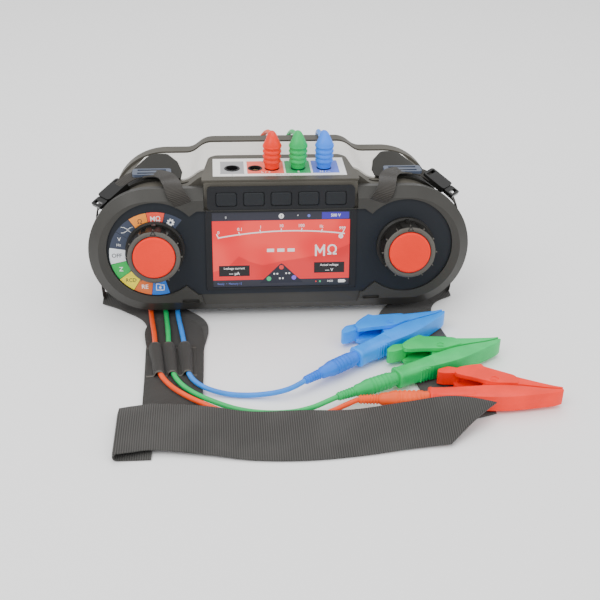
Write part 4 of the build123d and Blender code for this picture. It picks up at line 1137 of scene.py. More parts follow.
@dataclass
class Clip:
    """Dolphin clip of one lead: boot, handle with the lower jaw, and the sprung upper jaw."""

    lead: Lead
    half: float = 6.2
    tongue: float = 3.2
    cheek_in: float = 3.7
    cheek_out: float = 7.1
    pivot: Flat = (84.0, 13.0)

    def boot(self) -> bpy.types.Object:
        """Builds the ribbed boot and strain relief.

        Returns:
            The boot.
        """
        profile = [(-16.0, 2.3), (-15.8, 2.7)]
        for i in range(6):
            x = -15.0 + 2.3 * i
            profile += [(x, 2.7 + 0.06 * i), (x + 0.4, 3.25 + 0.1 * i), (x + 1.1, 3.25 + 0.1 * i),
                        (x + 1.5, 2.7 + 0.06 * i)]
        profile += [(-0.8, 3.7), (0.6, 4.5), (5.5, 4.9), (8.0, 5.7), (10.8, 6.1), (11.4, 6.1), (12.0, 5.7)]
        for i in range(5):
            x = 13.0 + 3.3 * i
            profile += [(x, 5.6), (x + 0.5, 6.15), (x + 1.7, 6.15), (x + 2.2, 5.6)]
        profile += [(30.2, 5.7), (30.6, 5.2), (35.0, 5.2), (35.3, 4.6)]
        sketch = Sketch(clip_matrix(self.lead))
        sketch.turned(profile, 0, 36)
        return finished(f"boot_{self.lead.value}", sketch.mesh(), [self.lead.boot], "root", 50.0)

    def handle(self) -> bpy.types.Object:
        """Builds the barrel, the lower jaw and the tongue round the pin.

        Returns:
            The piece that stays still.
        """
        sketch = Sketch(clip_matrix(self.lead))
        loops = []
        for x, a, b in ((34.4, 5.4, 5.4), (34.6, 7.0, 6.7), (36.4, 7.3, 7.0), (37.2, 6.9, 6.7),
                        (48.0, 6.9, 6.6), (49.0, 7.0, 6.7), (60.0, 7.2, 6.8), (66.0, 7.4, 6.9),
                        (68.0, 6.6, 6.4), (68.4, 5.2, 5.2)):
            ring = []
            for c, s in circle(40):
                ring.append((x, math.copysign(abs(c) ** 0.55, c) * a, math.copysign(abs(s) ** 0.55, s) * b))
            loops.append(ring)
        sketch.rings(loops)
        for i in range(5):
            x = 52.0 + 2.6 * i
            rib = rounded([(x, -7.5, 0.5), (x + 1.2, -7.5, 0.5), (x + 1.2, -5.0, 0), (x, -5.0, 0)], 2)
            sketch.prism(rib, -5.4, 5.4)
        jaw = rounded([(60, -6.6, 2), (60, 5.6, 2), (76, 6.6, 4), (92, 6.9, 6), (104, 4.9, 8),
                       (122, 1.0, 8), (131.6, 0.5, 0.6), (132.0, -1.2, 1.0), (127.5, -3.4, 4),
                       (108, -6.6, 10), (93, -8.6, 6), (79, -8.5, 6)], 6)
        sketch.prism(jaw, -self.half, self.half)
        body = finished(f"clip_body_{self.lead.value}", sketch.mesh(0.7, 2), [self.lead.clip], "root", 45.0)
        inner = Sketch(clip_matrix(self.lead))
        lug = rounded([(72, 4, 0), (95, 4, 0), (90, 17.6, 3), (78, 17.6, 3)], 4)
        inner.prism(lug, -self.tongue, self.tongue)
        for i in range(9):
            x = 110.0 + 2.3 * i
            top = 3.9 - 0.155 * (x - 106)
            inner.prism([(x, top - 1.5), (x + 2.0, top - 1.6), (x + 1.0, top + 0.45)], -2.2, 2.2)
        finished(f"clip_tongue_{self.lead.value}", inner.mesh(0.3, 1), [self.lead.clip])
        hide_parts(f"clip_handle_{self.lead.value}")
        return body

    def lever(self) -> bpy.types.Object:
        """Builds the upper jaw, its cheeks and the thumb tab.

        Returns:
            The piece that turns with the jaw.
        """
        sketch = Sketch(clip_matrix(self.lead))
        beak = rounded([(97, 7.6, 1), (105, 6.6, 6), (121, 2.6, 8), (131.6, 1.5, 0.6), (132.2, 2.7, 1.0),
                        (126, 4.6, 5), (112, 11.2, 12), (97, 19.2, 2)], 6)
        sketch.prism(beak, -self.half, self.half)
        side = rounded([(101, 7.4, 2), (101, 17.2, 3), (80.2, 29.6, 1), (78.6, 33.2, 1.2), (68, 31.6, 5),
                        (59, 28.6, 4), (56.6, 22.2, 3), (60.5, 19.4, 4), (68.4, 16.2, 5), (75.6, 12.4, 4),
                        (84, 8.4, 4), (92, 8.1, 3)], 6)
        for low in (-self.cheek_out, self.cheek_in):
            sketch.prism(side, low, low + self.cheek_out - self.cheek_in)
        tab = rounded([(44.9, 26.2, 1.2), (46.2, 29.8, 1.4), (54, 33.0, 1.6), (62, 30.6, 1.0),
                       (61, 24.0, 1.0), (49.5, 24.2, 1.4)], 4)
        sketch.prism(tab, -self.cheek_out + 1.8, self.cheek_out - 1.8)
        spine = rounded([(58, 25.6, 1), (59, 28.2, 2), (68, 31.0, 4), (78, 31.4, 1), (101, 17.0, 1),
                         (101, 14.6, 1), (78, 28.0, 3)], 4)
        sketch.prism(spine, -self.cheek_out + 0.3, self.cheek_out - 0.3)
        piece = finished(f"clip_lever_{self.lead.value}", sketch.mesh(1.1, 3), [self.lead.clip],
                         f"clip_jaw_{self.lead.value}", 45.0)
        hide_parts(f"clip_jaw_{self.lead.value}")
        return piece

    def boss(self) -> bpy.types.Object:
        """Builds the round boss with its spiral groove at the pin.

        Returns:
            The boss.
        """
        sketch = Sketch(clip_matrix(self.lead) @ Matrix.Translation((*self.pivot, 0)))
        for side in (-1, 1):
            low, high = sorted((side * self.cheek_out, side * (self.cheek_out + 0.45)))
            for i in range(22):
                a, b = math.tau * i / 26, math.tau * (i + 1) / 26
                r = 3.5 - 0.03 * i
                sketch.prism([(r * math.cos(a), r * math.sin(a)), (r * math.cos(b), r * math.sin(b)),
                              ((r - 0.7) * math.cos(b), (r - 0.7) * math.sin(b)),
                              ((r - 0.7) * math.cos(a), (r - 0.7) * math.sin(a))], low - 0.05, high)
            sketch.disc((0, 0), 1.7, low - 0.05, high - 0.05)
        return finished(f"clip_boss_{self.lead.value}", sketch.mesh(), [self.lead.clip],
                        f"clip_jaw_{self.lead.value}")


# ---------------------------------------------------------------- neck strap
FLOOR_LIFT = 0.75


@dataclass
class NeckStrap:
    """Ribbed neck strap lying on the floor: front band, left run and right run."""

    thick: float = 1.3
    rib: float = 0.13
    pitch: float = 1.7
    band: list[tuple[float, Flat, Flat]] = field(default_factory=lambda: [
        (-123.0, (-185.0, 4.6), (-238.5, 6.2)), (-112.0, (-184.0, 5.6), (-236.0, 5.6)),
        (-95.0, (-183.5, 6.4), (-233.0, 4.4)), (-62.0, (-191.0, 8.6), (-237.5, 2.8)),
        (-30.0, (-197.0, 7.0), (-243.5, 1.3)), (5.0, (-196.5, 6.4), (-245.5, 1.1)),
        (40.0, (-198.0, 6.6), (-243.0, 1.2)), (79.0, (-197.0, 11.0), (-237.5, 1.8)),
        (105.0, (-198.5, 16.0), (-236.0, 2.8)), (125.0, (-200.8, 16.0), (-239.0, 3.2)),
        (152.0, (-206.0, 11.8), (-244.0, 3.2))])
    fold_far: Flat = (143.0, -204.0)
    fold_near: Flat = (103.0, -237.0)
    columns: int = 15

    def front(self) -> bpy.types.Object:
        """Builds the front band with the roll at its left end, cut along the fold at its right end.

        Returns:
            The band.
        """
        control = [(x, *far, *near) for x, far, near in self.band]
        samples = eased(control, 60)
        rows = []
        left = samples[0]
        for step in range(15):
            if step < 5:
                x, drop = -98.0 - 5.2 * step, 0.0
            else:
                angle = math.radians(-90 - 18 * (step - 4))
                x, drop = -120.6 + 2.6 * math.cos(angle), math.sin(angle)
            row = []
            for j in range(self.columns):
                t = j / (self.columns - 1)
                y = left[1] + t * (left[3] - left[1])
                top = left[2] + t * (left[4] - left[2])
                middle, radius = 0.5 * (top + FLOOR_LIFT), 0.5 * (top - FLOOR_LIFT)
                row.append((x, y, FLOOR_LIFT if step < 5 else middle + radius * drop))
            rows.append(row)
        for x, fy, fz, ny, nz in samples[1:]:
            row = []
            for j in range(self.columns):
                t = j / (self.columns - 1)
                belly = 1.0 * math.sin(math.pi * t)
                row.append((x, fy + t * (ny - fy), fz + t * (nz - fz) + belly))
            rows.append(row)
        piece = cloth("strap_band", rows, self.thick, STRAP, self.rib, self.pitch)
        bm = bmesh.new()
        bm.from_mesh(piece.data)
        run = Vector((self.fold_far[0] - self.fold_near[0], self.fold_far[1] - self.fold_near[1], 0))
        cut = bmesh.ops.bisect_plane(bm, geom=[*bm.verts, *bm.edges, *bm.faces], clear_outer=True,
                                     plane_co=Vector((*self.fold_near, 0)) * MM,
                                     plane_no=Vector((run.y, -run.x, 0)).normalized())
        edges = [e for e in cut["geom_cut"] if isinstance(e, bmesh.types.BMEdge)]
        bmesh.ops.holes_fill(bm, edges=edges, sides=0)
        bmesh.ops.recalc_face_normals(bm, faces=bm.faces)
        bm.to_mesh(piece.data)
        bm.free()
        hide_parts("strap_front")
        return piece

    def run(self, name: str, node: str, path: Sequence[tuple[Flat, Flat]],
            height: float) -> bpy.types.Object:
        """Builds one side run.

        Args:
            name: the piece's name.
            node: the CAD node that it stands for.
            path: left and right edge points from the instrument to the front band.
            height: height of its middle.
        Returns:
            The piece.
        """
        control = [(*a, *b) for a, b in path]
        rows = []
        for ax, ay, bx, by in eased(control, 50):
            rows.append([(ax + t * (bx - ax), ay + t * (by - ay), height + 0.3 * math.sin(math.pi * t))
                         for t in (j / 12 for j in range(13))])
        piece = cloth(name, rows, self.thick, STRAP, self.rib, self.pitch)
        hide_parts(node)
        return piece

    def build(self) -> list[bpy.types.Object]:
        """Builds the three parts of the strap.

        Returns:
            The pieces.
        """
        left = self.run("strap_left", "strap_left_run",
                        [((-148.5, -28), (-148.5, -8)), ((-130, -41), (-118, -12)),
                         ((-110.5, -64), (-64, -58)), ((-108.5, -110), (-63.5, -108)),
                         ((-107.5, -160), (-64, -160)), ((-107.5, -200), (-66, -198)),
                         ((-110, -226), (-70, -222))], 0.9)
        right = self.run("strap_right", "strap_right_run",
                         [((148.5, -8), (148.5, -28)), ((122, -10), (132, -40)), ((82, -56), (126, -60)),
                          ((86.5, -95), (131.5, -100)), ((92, -140), (138, -150)),
                          ((96.5, -175), (144, -190)), ((101, -214), (145, -200))], 0.9)
        return [self.front(), left, right]


@dataclass
class LeadHolder:
    """Cloth flap with one elastic sleeve for each lead."""

    base: float = 2.9
    sleeves: dict[Lead, tuple[Flat, Flat]] = field(default_factory=lambda: {
        Lead.RED: ((-101.0, -106.0), (-96.3, -143.0)), Lead.GREEN: ((-90.6, -106.0), (-86.6, -143.0)),
        Lead.BLUE: ((-78.3, -106.0), (-75.3, -143.0))})

    def flap(self) -> bpy.types.Object:
        """Builds the flap under the sleeves.

        Returns:
            The flap.
        """
        outline = [(-56.5, -80.0, -97.0), (-62.0, -72.5, -104.5), (-70.0, -67.0, -109.2),
                   (-80.0, -64.5, -110.6), (-96.0, -63.6, -109.0), (-106.0, -63.6, -107.4),
                   (-130.0, -63.8, -106.6), (-160.0, -64.0, -106.6), (-181.0, -64.2, -106.6)]
        rows = []
        for y, right, left in eased(outline, 9):
            rows.append([(left + t * (right - left), y, self.base - 0.6 + 0.35 * math.sin(math.pi * t))
                         for t in (j / 12 for j in range(13))])
        return cloth("holder_flap", rows, 1.0, ELASTIC)

    def sleeve_rows(self) -> list[list[Point]]:
        """Works out the cloth that arches over the three leads.

        Returns:
            Rows of points in mm.
        """
        rows = []
        for k in range(25):
            t = k / 24
            y = -105.0 - 38.5 * t
            centres = [a[0] + t * (b[0] - a[0]) for a, b in self.sleeves.values()]
            slack = 1.0 + 0.12 * math.cos(math.pi * t)
            row = []
            for j in range(73):
                x = -107.4 + 37.8 * j / 72 + 1.2 * t
                lift = 0.0
                for centre in centres:
                    away = abs(x - centre) / (4.35 * slack)
                    if away < 1:
                        lift = max(lift, (1 - away ** 2.4) ** 0.55)
                wave = 0.25 * math.sin(0.9 * x + 5 * t)
                row.append((x, y, self.base + 0.15 + lift * 5.2 * slack + wave * (1 - lift) * 0.4))
            rows.append(row)
        return rows

    def hem(self, y: float, rows: Sequence[Sequence[Point]], name: str) -> bpy.types.Object:
        """Builds a piped hem along one end of the sleeves.

        Args:
            y: place of the hem along the instrument's depth.
            rows: the sleeves' rows.
            name: the piece's name.
        Returns:
            The piece.
        """
        line = min(rows, key=lambda row: abs(row[0][1] - y))
        sketch = Sketch()
        sketch.rings([[(x, front + 0.75 * c, z + 0.75 * s) for c, s in circle(8)] for x, front,
                      z in line[::2]])
        return finished(name, sketch.mesh(), [HARNESS_EDGE], "root", 60.0)

    def build(self) -> list[bpy.types.Object]:
        """Builds the flap, the sleeves and the hems.

        Returns:
            The pieces.
        """
        flap = self.flap()
        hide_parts("lead_holder")
        rows = self.sleeve_rows()
        return [flap, cloth("holder_sleeves", rows, 0.9, ELASTIC),
                self.hem(-105.0, rows, "holder_hem_rear"),
                self.hem(-143.5, rows, "holder_hem_front")]


@dataclass
class Harness:
    """Webbing loops over the top of the bumper and the thin side straps down behind the ends."""

    loop_width: float = 14.5
    side_width: float = 11.0

    def ribbon(self, name: str, spine: Sequence[tuple[Point, Point]], width: float, node: str,
               steps: int = 14) -> list[bpy.types.Object]:
        """Builds a mirrored pair of straps along a spine.

        Args:
            name: the piece's name.
            spine: centre points in mm with the direction across the strap, for the right side.
            width: width of the strap.
            node: the CAD node that it stands for.
            steps: samples for each run.
        Returns:
            The left and the right piece.
        """
        pair = []
        for sign in (-1, 1):
            rows = []
            for x, y, z, sx, sy, sz in eased([(*p, *s) for p, s in spine], steps):
                side = Vector((sx, sy, sz)).normalized() * width / 2
                row = []
                for t in (-1, -0.6, -0.2, 0.2, 0.6, 1):
                    p = Vector((x, y, z)) + side * t
                    row.append((sign * p.x, p.y, p.z))
                rows.append(row)
            pair.append(cloth(f"{name}_{'left' if sign < 0 else 'right'}", rows, 1.2, HARNESS))
        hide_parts(node)
        return pair

    def build(self) -> list[bpy.types.Object]:
        """Builds the loops and the side straps.

        Returns:
            The pieces.
        """
        def at(u: float, v: float, w: float) -> Point:
            """Point on the face as a tuple."""
            return tuple(on_face(u, v, w))
        loops = self.ribbon("shoulder_loop", [
            (at(76.6, 88.5, -0.6), (1, -0.05, -0.35)), (at(77.6, 90.5, 1.4), (1, 0, -0.35)),
            (at(79.0, 93.0, 2.5), (1, 0, -0.35)), (at(81.6, 96.5, 2.2), (1, 0, -0.3)),
            (at(84.0, 100.6, -1.6), (1, 0.05, -0.2)), (at(85.8, 103.8, -8.0), (1, 0.05, -0.1)),
            ((88.0, -22.0, 109.3), (0.93, -0.35, 0)), ((91.0, -14.5, 109.6), (0.75, -0.66, 0)),
            ((96.5, -8.0, 109.0), (0.4, -0.9, 0)), ((104.0, -5.0, 108.2), (0.1, -0.99, 0)),
            ((111.0, -5.0, 107.6), (-0.15, -0.98, -0.05))], self.loop_width, "strap_loops")
        sides = self.ribbon("side_strap", [
            ((106.0, -4.0, 108.0), (-0.2, -0.98, 0)), ((113.0, -5.0, 107.4), (-0.35, -0.9, -0.1)),
            ((121.0, -7.6, 105.8), (-0.5, -0.8, -0.1)), ((130.5, -12.5, 100.6), (-0.6, -0.7, 0)),
            ((139.0, -16.5, 93.4), (-0.5, -0.8, 0.1)), ((145.0, -18.0, 87.0), (-0.2, -0.98, 0)),
            ((147.6, -18.0, 80.0), (0, -1, 0)), ((148.8, -18.0, 60.0), (0, -1, 0)),
            ((148.8, -18.0, 30.0), (0, -1, 0)), ((148.2, -18.0, 8.0), (0, -1, 0)),
            ((147.0, -18.0, 2.4), (0, -1, 0))], self.side_width, "strap_risers")
        return [*loops, *sides]


# ---------------------------------------------------------------- instrument
@dataclass
class Display:
    """What the screen shows: bars, scale, reading, unit and the small boxes."""

    width: float = 110.3
    height: float = 62.0
    middle: float = 50.7
    film: float = -0.80
    layer: float = 0.035

    def spot(self, x: float, y: float) -> Flat:
        """Place on the screen from shares of its width and of its height from the top."""
        return (x - 0.5) * self.width, (0.5 - y) * self.height

    def bar(self, sketch: Sketch, x0: float, y0: float, x1: float, y1: float, level: int,
            number: int) -> None:
        """Adds a rectangle between two corners, given as shares of the screen, on a layer."""
        (a, b), (c, d) = self.spot(x0, y1), self.spot(x1, y0)
        sketch.prism([(a, b), (c, b), (c, d), (a, d)], 0.0, self.layer * level, number)

    def build(self) -> bpy.types.Object:
        """Builds the bars, the scale, the reading and the small boxes.

        Returns:
            The piece.
        """
        tones = [Lit(f"lit_{name}", srgb(code), "display", strength, second and srgb(second))
                 for name, code, strength, second in (
                     ("red", "f2161e", 1.25, "ff3c36"), ("bar", "343545", 0.5, None),
                     ("white", "ffffff", 0.9, None), ("black", "150f16", 0.4, None),
                     ("navy", "20243a", 0.5, None), ("purple", "4634c4", 0.7, None),
                     ("green", "3fd08a", 0.8, None), ("rose", "ff3f3f", 0.8, None),
                     ("violet", "8d6bf0", 0.8, None), ("blue", "7485e0", 0.7, None),
                     ("shade", "dc1018", 1.1, "ec282c"))]
        red, bar, white, black, navy, purple, green, rose, violet, blue, dusk = range(11)
        sketch = Sketch(face_matrix(0.0, self.middle, self.film))
        step = self.layer
        self.bar(sketch, 0, 0, 1, 0.11, 1, bar)
        self.bar(sketch, 0, 0.11, 1, 0.905, 1, red)
        self.bar(sketch, 0, 0.905, 1, 1, 1, bar)
        hills = [(0.0, 0.79), (0.10, 0.74), (0.19, 0.58), (0.27, 0.66), (0.36, 0.71), (0.50, 0.66),
                 (0.66, 0.62), (0.80, 0.57), (0.92, 0.50), (1.0, 0.44), (1.0, 0.905), (0.0, 0.905)]
        sketch.prism([self.spot(*p) for p in reversed(hills)], 0.0, 1.4 * step, dusk)
        self.bar(sketch, 0.795, 0.012, 0.992, 0.10, 2, purple)
        sketch.letters("500 V", 3.3, self.spot(0.895, 0.056), 0.0, 3 * step, white, 0.06)
        sketch.letters("?", 3.2, self.spot(0.5, 0.058), 0.0, 4 * step, bar, 0.08)
        sketch.disc(self.spot(0.5, 0.055), 2.1, 0.0, 3 * step, white, 20)
        sketch.letters("II", 2.6, self.spot(0.10, 0.065), 0.0, 3 * step, white)
        sketch.letters("•", 3.6, self.spot(0.62, 0.05), 0.0, 3 * step, white)
        sketch.disc(self.spot(0.70, 0.055), 1.2, 0.0, 3 * step, blue, 16)
        arc = [(x, 0.252 + 0.30 * (x - 0.56) ** 2) for x in (0.045 + 0.914 * i / 36 for i in range(37))]
        sketch.stroke([self.spot(*p) for p in arc], 1.0, 0.0, 2 * step, white)
        for share, label in ((0.045, "0"), (0.20, "0.1"), (0.35, "1"), (0.50, "10"), (0.645, "100"),
                             (0.79, "1k"), (0.945, "999")):
            y = 0.252 + 0.30 * (share - 0.56) ** 2
            x, h = self.spot(share, y)
            tall = 2.8 if share in (0.045, 0.945) else 1.7
            sketch.stroke([(x, h - 0.3), (x + 3.0 * (share - 0.5), h + tall)], 0.8, 0.0, 2 * step, white)
            sketch.letters(label, 3.5, (x, h + 4.2), 0.0, 3 * step, white, 0.05)
        sketch.disc(self.spot(0.935, 0.335), 1.9, 0.0, 2 * step, white, 20)
        sketch.letters("i", 2.6, self.spot(0.935, 0.335), 0.0, 3 * step, rose, 0.08)
        for x in (0.395, 0.470, 0.545):
            self.bar(sketch, x, 0.488, x + 0.052, 0.532, 2, white)
        mx, my = self.spot(0.783, 0.522)
        half, rise = 3.3, 4.0
        sketch.stroke([(mx - half, my - rise), (mx - half, my + rise), (mx, my - 0.35 * rise),
                       (mx + half, my + rise), (mx + half, my - rise)], 1.5, 0.0, 3 * step, white)
        sketch.letters("\u03a9", 11.2, self.spot(0.872, 0.525), 0.0, 3 * step, white, 0.16)
        for x, y, top, low in ((0.155, 0.78, "Leakage current", "--- \u00b5A"),
                               (0.852, 0.755, "Actual voltage", "--- V")):
            self.bar(sketch, x - 0.112, y - 0.072, x + 0.112, y + 0.072, 2, black)
            sketch.letters(top, 2.6, self.spot(x, y - 0.034), 0.0, 3 * step, white, 0.03)
            sketch.letters(low, 3.5, self.spot(x, y + 0.036), 0.0, 3 * step, white, 0.06)
        tent = [(0.365, 0.905), (0.385, 0.875), (0.485, 0.705), (0.5, 0.69), (0.515, 0.705), (0.615, 0.875),
                (0.635, 0.905), (0.66, 0.955), (0.34, 0.955)]
        sketch.prism([self.spot(*p) for p in reversed(tent)], 0.0, 2 * step, navy)
        for at, tone in (((0.5, 0.742), rose), ((0.408, 0.895), green), ((0.592, 0.885), violet)):
            sketch.disc(self.spot(*at), 1.9, 0.0, 3 * step, tone, 20)
        for at in ((0.447, 0.83), (0.47, 0.83), (0.535, 0.825), (0.558, 0.825), (0.488, 0.893),
                   (0.511, 0.893)):
            sketch.disc(self.spot(*at), 0.75, 0.0, 3 * step, white, 12)
        sketch.letters("Ready  •  Memory 12", 2.3, self.spot(0.12, 0.955), 0.0, 3 * step, blue)
        sketch.letters("14:31", 2.4, self.spot(0.86, 0.945), 0.0, 3 * step, white, 0.04)
        sketch.disc(self.spot(0.785, 0.945), 0.8, 0.0, 3 * step, green, 12)
        sketch.disc(self.spot(0.755, 0.945), 0.6, 0.0, 3 * step, rose, 12)
        self.bar(sketch, 0.92, 0.925, 0.968, 0.965, 3, white)
        self.bar(sketch, 0.968, 0.936, 0.975, 0.954, 3, white)
        return finished("screen_picture", sketch.mesh(), tones)


@dataclass
class RangeDial:
    """Printed ranges round the left knob."""

    centre: Flat = (-100.4, 48.8)
    outer: Flat = (36.5, 34.2)
    inner: Flat = (24.1, 22.6)
    half: float = 11.35
    first: float = 65.0
    step: float = 23.33

    def at(self, angle: float, share: float) -> Flat:
        """Point of the ring.

        Args:
            angle: angle in degrees.
            share: share of the way from its inside to its outside.
        Returns:
            The point.
        """
        t = math.radians(angle)
        a, b = (i + share * (o - i) for i, o in zip(self.inner, self.outer))
        return a * math.cos(t), b * math.sin(t)

    def build(self) -> bpy.types.Object:
        """Builds the coloured fields and their marks.

        Returns:
            The piece.
        """
        inks = [*(Ink(f"dial_{name}", srgb(code), "fascia_print") for name, code in (
            ("navy", "323b4e"), ("red", "ec4b34"), ("orange", "f5922a"), ("white", "e9eef2"),
            ("green", "12b24c"), ("yellow", "f2df27"), ("brown", "dd6a2b"), ("blue", "1a6fd2"),
            ("ink", "33363c"))), PRINT_WHITE]
        navy, red, orange, white, green, yellow, brown, blue, ink, pale = range(10)
        sketch = Sketch(face_matrix(*self.centre, FASCIA_TOP))
        fields = [(navy, ""), (red, "M\u03a9"), (orange, "\u03a9"), (navy, ""), (navy, "V"), (white, "OFF"),
                  (green, "Z"), (yellow, "RCD"), (brown, "RE"), (blue, "")]
        for k, (tone, label) in enumerate(fields):
            angle = self.first + k * self.step
            lo, hi = angle - self.half, angle + self.half
            sweep = [lo + (hi - lo) * i / 8 for i in range(9)]
            sketch.prism([*(self.at(a, 1) for a in sweep), *(self.at(a, 0) for a in reversed(sweep))], 0.0,
                         0.08, tone)
            x, y = self.at(angle, 0.53)
            mark = ink if tone in (orange, white, yellow) else pale
            if label == "V":
                sketch.letters("V", 4.4, (x + 0.4, y + 2.0), 0.0, 0.14, pale)
                sketch.letters("Hz", 3.2, (x - 0.2, y - 2.6), 0.0, 0.14, pale)
            elif label:
                size = {"OFF": 4.6, "RCD": 4.2, "M\u03a9": 5.4}.get(label, 5.0)
                sketch.letters(label, size, (x, y), 0.0, 0.14, mark, 0.05)
        gx, gy = self.at(self.first, 0.5)
        teeth = []
        for i in range(32):
            r = 3.1 if i % 4 in (0, 1) else 2.35
            t = math.tau * i / 32
            teeth.append((gx + r * math.cos(t), gy + r * math.sin(t)))
        sketch.prism(teeth, 0.0, 0.13, pale)
        sketch.disc((gx, gy), 1.15, 0.0, 0.17, navy, 16)
        cx, cy = self.at(self.first + 3 * self.step, 0.52)
        for side in (-1, 1):
            wave = eased([(-4.4, side * 2.3), (-2.0, side * 1.9), (0.6, side * 0.55), (2.6, side * 1.7),
                          (4.2, side * 2.2)], 4)
            sketch.stroke([(cx + x, cy + y) for x, y in wave], 0.55, 0.0, 0.13, pale)
        bx, by = self.at(self.first + 9 * self.step, 0.47)
        box = [(-3.1, -2.3), (3.1, -2.3), (3.1, 2.0), (0.2, 2.0), (-0.5, 2.9), (-3.1, 2.9), (-3.1, -2.3)]
        sketch.stroke([(bx + x, by + y) for x, y in box], 0.6, 0.0, 0.13, pale)
        sketch.disc((bx, by - 0.1), 0.95, 0.0, 0.13, pale, 14)
        sketch.disc(self.at(self.first + 9 * self.step, -0.32), 0.5, 0.0, 0.1, blue, 12)
        return finished("range_dial", sketch.mesh(), inks)


@dataclass
class Knob:
    """Rim with a painted highlight, tick marks and pointer of one test knob; its cap is dressed as it is."""

    side: str
    sign: int
    top: float = 21.0

    def build(self, ticks: RepeatTree) -> list[bpy.types.Object]:
        """Builds the rim, pale with a painted highlight, the ticks in the same pale colour and the pointer.

        Args:
            ticks: tree that places the ticks around the rim.
        Returns:
            The three pieces.
        """
        base = face_matrix(self.sign * KNOB_U, KNOB_V, 0.0)
        body = f"{self.side}_knob"
        rim = Sketch(base)
        # rim in the pale colour: painted highlight of the knob's top edge
        rim.hoop([(17.0, self.top - 0.2), (17.0, self.top + 0.25), (17.6, self.top + 0.75),
                  (19.4, self.top + 0.75), (20.7, self.top - 0.1), (20.7, self.top - 0.6)])
        ring = finished(f"{body}_rim", rim.mesh(), [KNOB_RIM_HIGHLIGHT], body)
        bars = ticks.make(Count=12, Radius=21.0, Bar=(2.2, 0.6, 2.2), Scatter=0.0,
                          Finish=KNOB_RIM_HIGHLIGHT.material())
        marks = gather(f"{body}_ticks", [(bars, base @ Matrix.Translation((0, 0, self.top - 1.3)))],
                       KNOB_RIM_HIGHLIGHT, body)
        arrow = Sketch(base)
        outline = [(-2.0, 18.0), (0.0, 21.4), (2.0, 18.0), (-2.0, 18.0)]
        arrow.stroke(outline, 0.5, self.top + 0.7, self.top + 0.85)
        pointer = finished(f"{body}_arrow", arrow.mesh(), [BLACK], body)
        return [ring, marks, pointer]


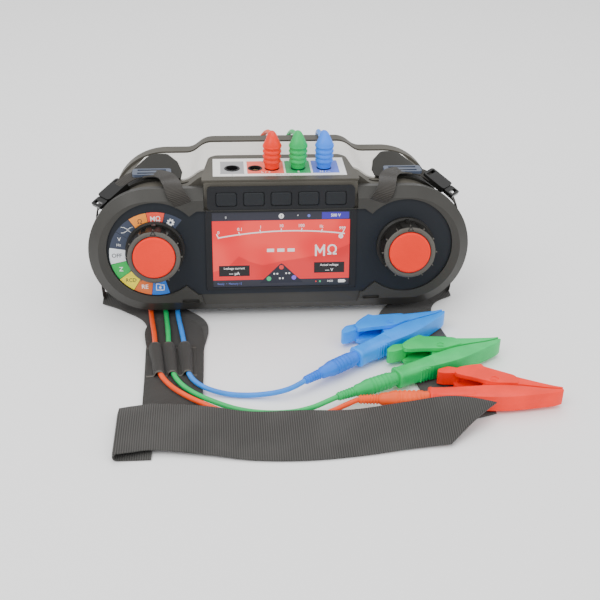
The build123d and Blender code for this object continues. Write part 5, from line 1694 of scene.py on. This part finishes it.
@dataclass
class SocketLabel:
    """White label of the socket panel with one coloured field for each socket."""

    top: float = 114.6
    y: tuple[float, float, float, float] = (-29.0, -24.5, 2.0, 8.0)
    jack_y: float = JACK_Y
    cells: list[tuple[float, float, float, float, int]] = field(default_factory=lambda: [
        (-47.5, -28.5, -38.0, 6.4, 1), (-26.0, -12.65, -19.5, 6.0, 2), (-12.65, 3.6, -5.8, 6.0, 2),
        (4.9, 25.1, 15.2, 6.0, 3), (26.7, 48.2, 36.4, 6.0, 4)])

    def cell(self, sketch: Sketch, x0: float, x1: float, hole_x: float, radius: float, number: int) -> None:
        """Adds a rectangle with a round hole.

        Args:
            sketch: what it is added to.
            x0: left edge.
            x1: right edge.
            hole_x: centre of the hole.
            radius: radius of the hole.
            number: material number.
        """
        loops = []
        for c, s in circle(48):
            reach = min(((x1 if c > 0 else x0) - hole_x) / c if abs(c) > 1e-6 else 1e9,
                        ((self.y[2] if s > 0 else self.y[1]) - self.jack_y) / s if abs(s) > 1e-6 else 1e9)
            near, far = (hole_x + radius * c, self.jack_y + radius * s), (hole_x + reach * c,
                                                                          self.jack_y + reach * s)
            loops.append([(*near, self.top), (*near, self.top + 0.2), (*far, self.top + 0.2),
                          (*far, self.top)])
        sketch.rings(loops, number, closed=True)

    def build(self) -> bpy.types.Object:
        """Builds the label.

        Returns:
            The label.
        """
        fields = (("grey", "9a9b9d"), ("red", "f0604c"), ("green", "17a05a"), ("blue", "5a72cf"))
        inks = [PANEL_WHITE, *(Ink(f"field_{name}", srgb(code), "label_white") for name, code in fields),
                PRINT_WHITE, PRINT_DARK]
        sketch = Sketch()
        front, low, high, rear = self.y
        strips = [(-53.5, front, 53.5, low), (-53.5, high, 53.5, rear), (-53.5, low, -47.5, high),
                  (-28.5, low, -26.0, high), (3.6, low, 4.9, high), (25.1, low, 26.7, high),
                  (48.2, low, 53.5, high)]
        for x0, y0, x1, y1 in strips:
            sketch.prism([(x0, y0), (x1, y0), (x1, y1), (x0, y1)], self.top, self.top + 0.2, 0)
        for x0, x1, hole, radius, number in self.cells:
            self.cell(sketch, x0, x1, hole, radius, number)
        for x, text in ((-11.0, "L / +"), (15.2, "E"), (36.4, "N / \u2013")):
            sketch.letters(text, 4.0, (x, -21.6), self.top, self.top + 0.26, 5, 0.05)
        for x, text in ((-38.0, "P"), (3.6, "600 V  CAT IV")):
            sketch.letters(text, 2.4, (x, -26.8), self.top, self.top + 0.26, 6)
        return finished("socket_label", sketch.mesh(), inks)


@dataclass
class Instrument:
    """Finishes of the instrument's own parts, which keep their shapes."""

    parts: dict[str, Finish] = field(default_factory=lambda: {
        "front_case": CASE, "rear_case": CASE, "case_gasket": FOOT, "case_screws": STEEL,
        "front_bumper": RIM,
        "fascia_panel": FASCIA, "screen_frame": KEYPAD, "display_window": WINDOW, "display_module": BLACK,
        "keypad_frame": KEYPAD, "left_knob": KNOB, "right_knob": KNOB, "left_test_button": CAP,
        "right_test_button": CAP, "rotary_switches": BLACK, "main_board": BOARD,
        "high_voltage_transformer": COPPER, "battery_pack": CELL, "top_label": PLATE, "shoulder_pads": PAD,
        "socket_panel": CASE, "jack_housings": BLACK, "jack_contacts": GOLD, "probe_socket": BLACK,
        "feet": FOOT,
        "strap_sliders": SLIDE_REFLECTION, "strap_buckles": BUCKLE, "clip_pins": STEEL, "clip_springs": STEEL})

    def dress(self) -> None:
        """Gives every kept part its finish."""
        for name, finish in self.parts.items():
            dress_node(finish, name)
        for number in range(1, 6):
            dress_node(KEY, f"key_{number}")


def main() -> None:
    """Builds the whole model in order."""
    logging.basicConfig(level=logging.INFO, format="%(message)s")
    Stage().build()
    log.info("stage and camera")
    boots = []
    for lead in Lead:
        cord = Cord(lead)
        line = cord.build()
        plug = Plug(lead).build()
        clip = Clip(lead)
        boots.append(clip.boot())
        pieces = [plug, boots[-1], clip.handle(), clip.lever(), clip.boss()]
        tuple(c * MM for c in cord.points()[0])
        CoilTie(lead).build()
        log.info("lead %s: %d points, %d pieces", lead.value, len(cord.points()), len(pieces))
    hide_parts("lead_boots")
    for piece in NeckStrap().build() + LeadHolder().build() + Harness().build():
        log.info("soft piece %s", piece.name)
    Instrument().dress()
    Display().build()
    RangeDial().build()
    ticks = RepeatTree("ring_of_bars")
    for side, sign in (("left", -1), ("right", 1)):
        for piece in Knob(side, sign).build(ticks):
            log.info("knob piece %s", piece.name)
    SocketLabel().build()
    log.info("instrument dressed")


if __name__ == "__main__":
    main()
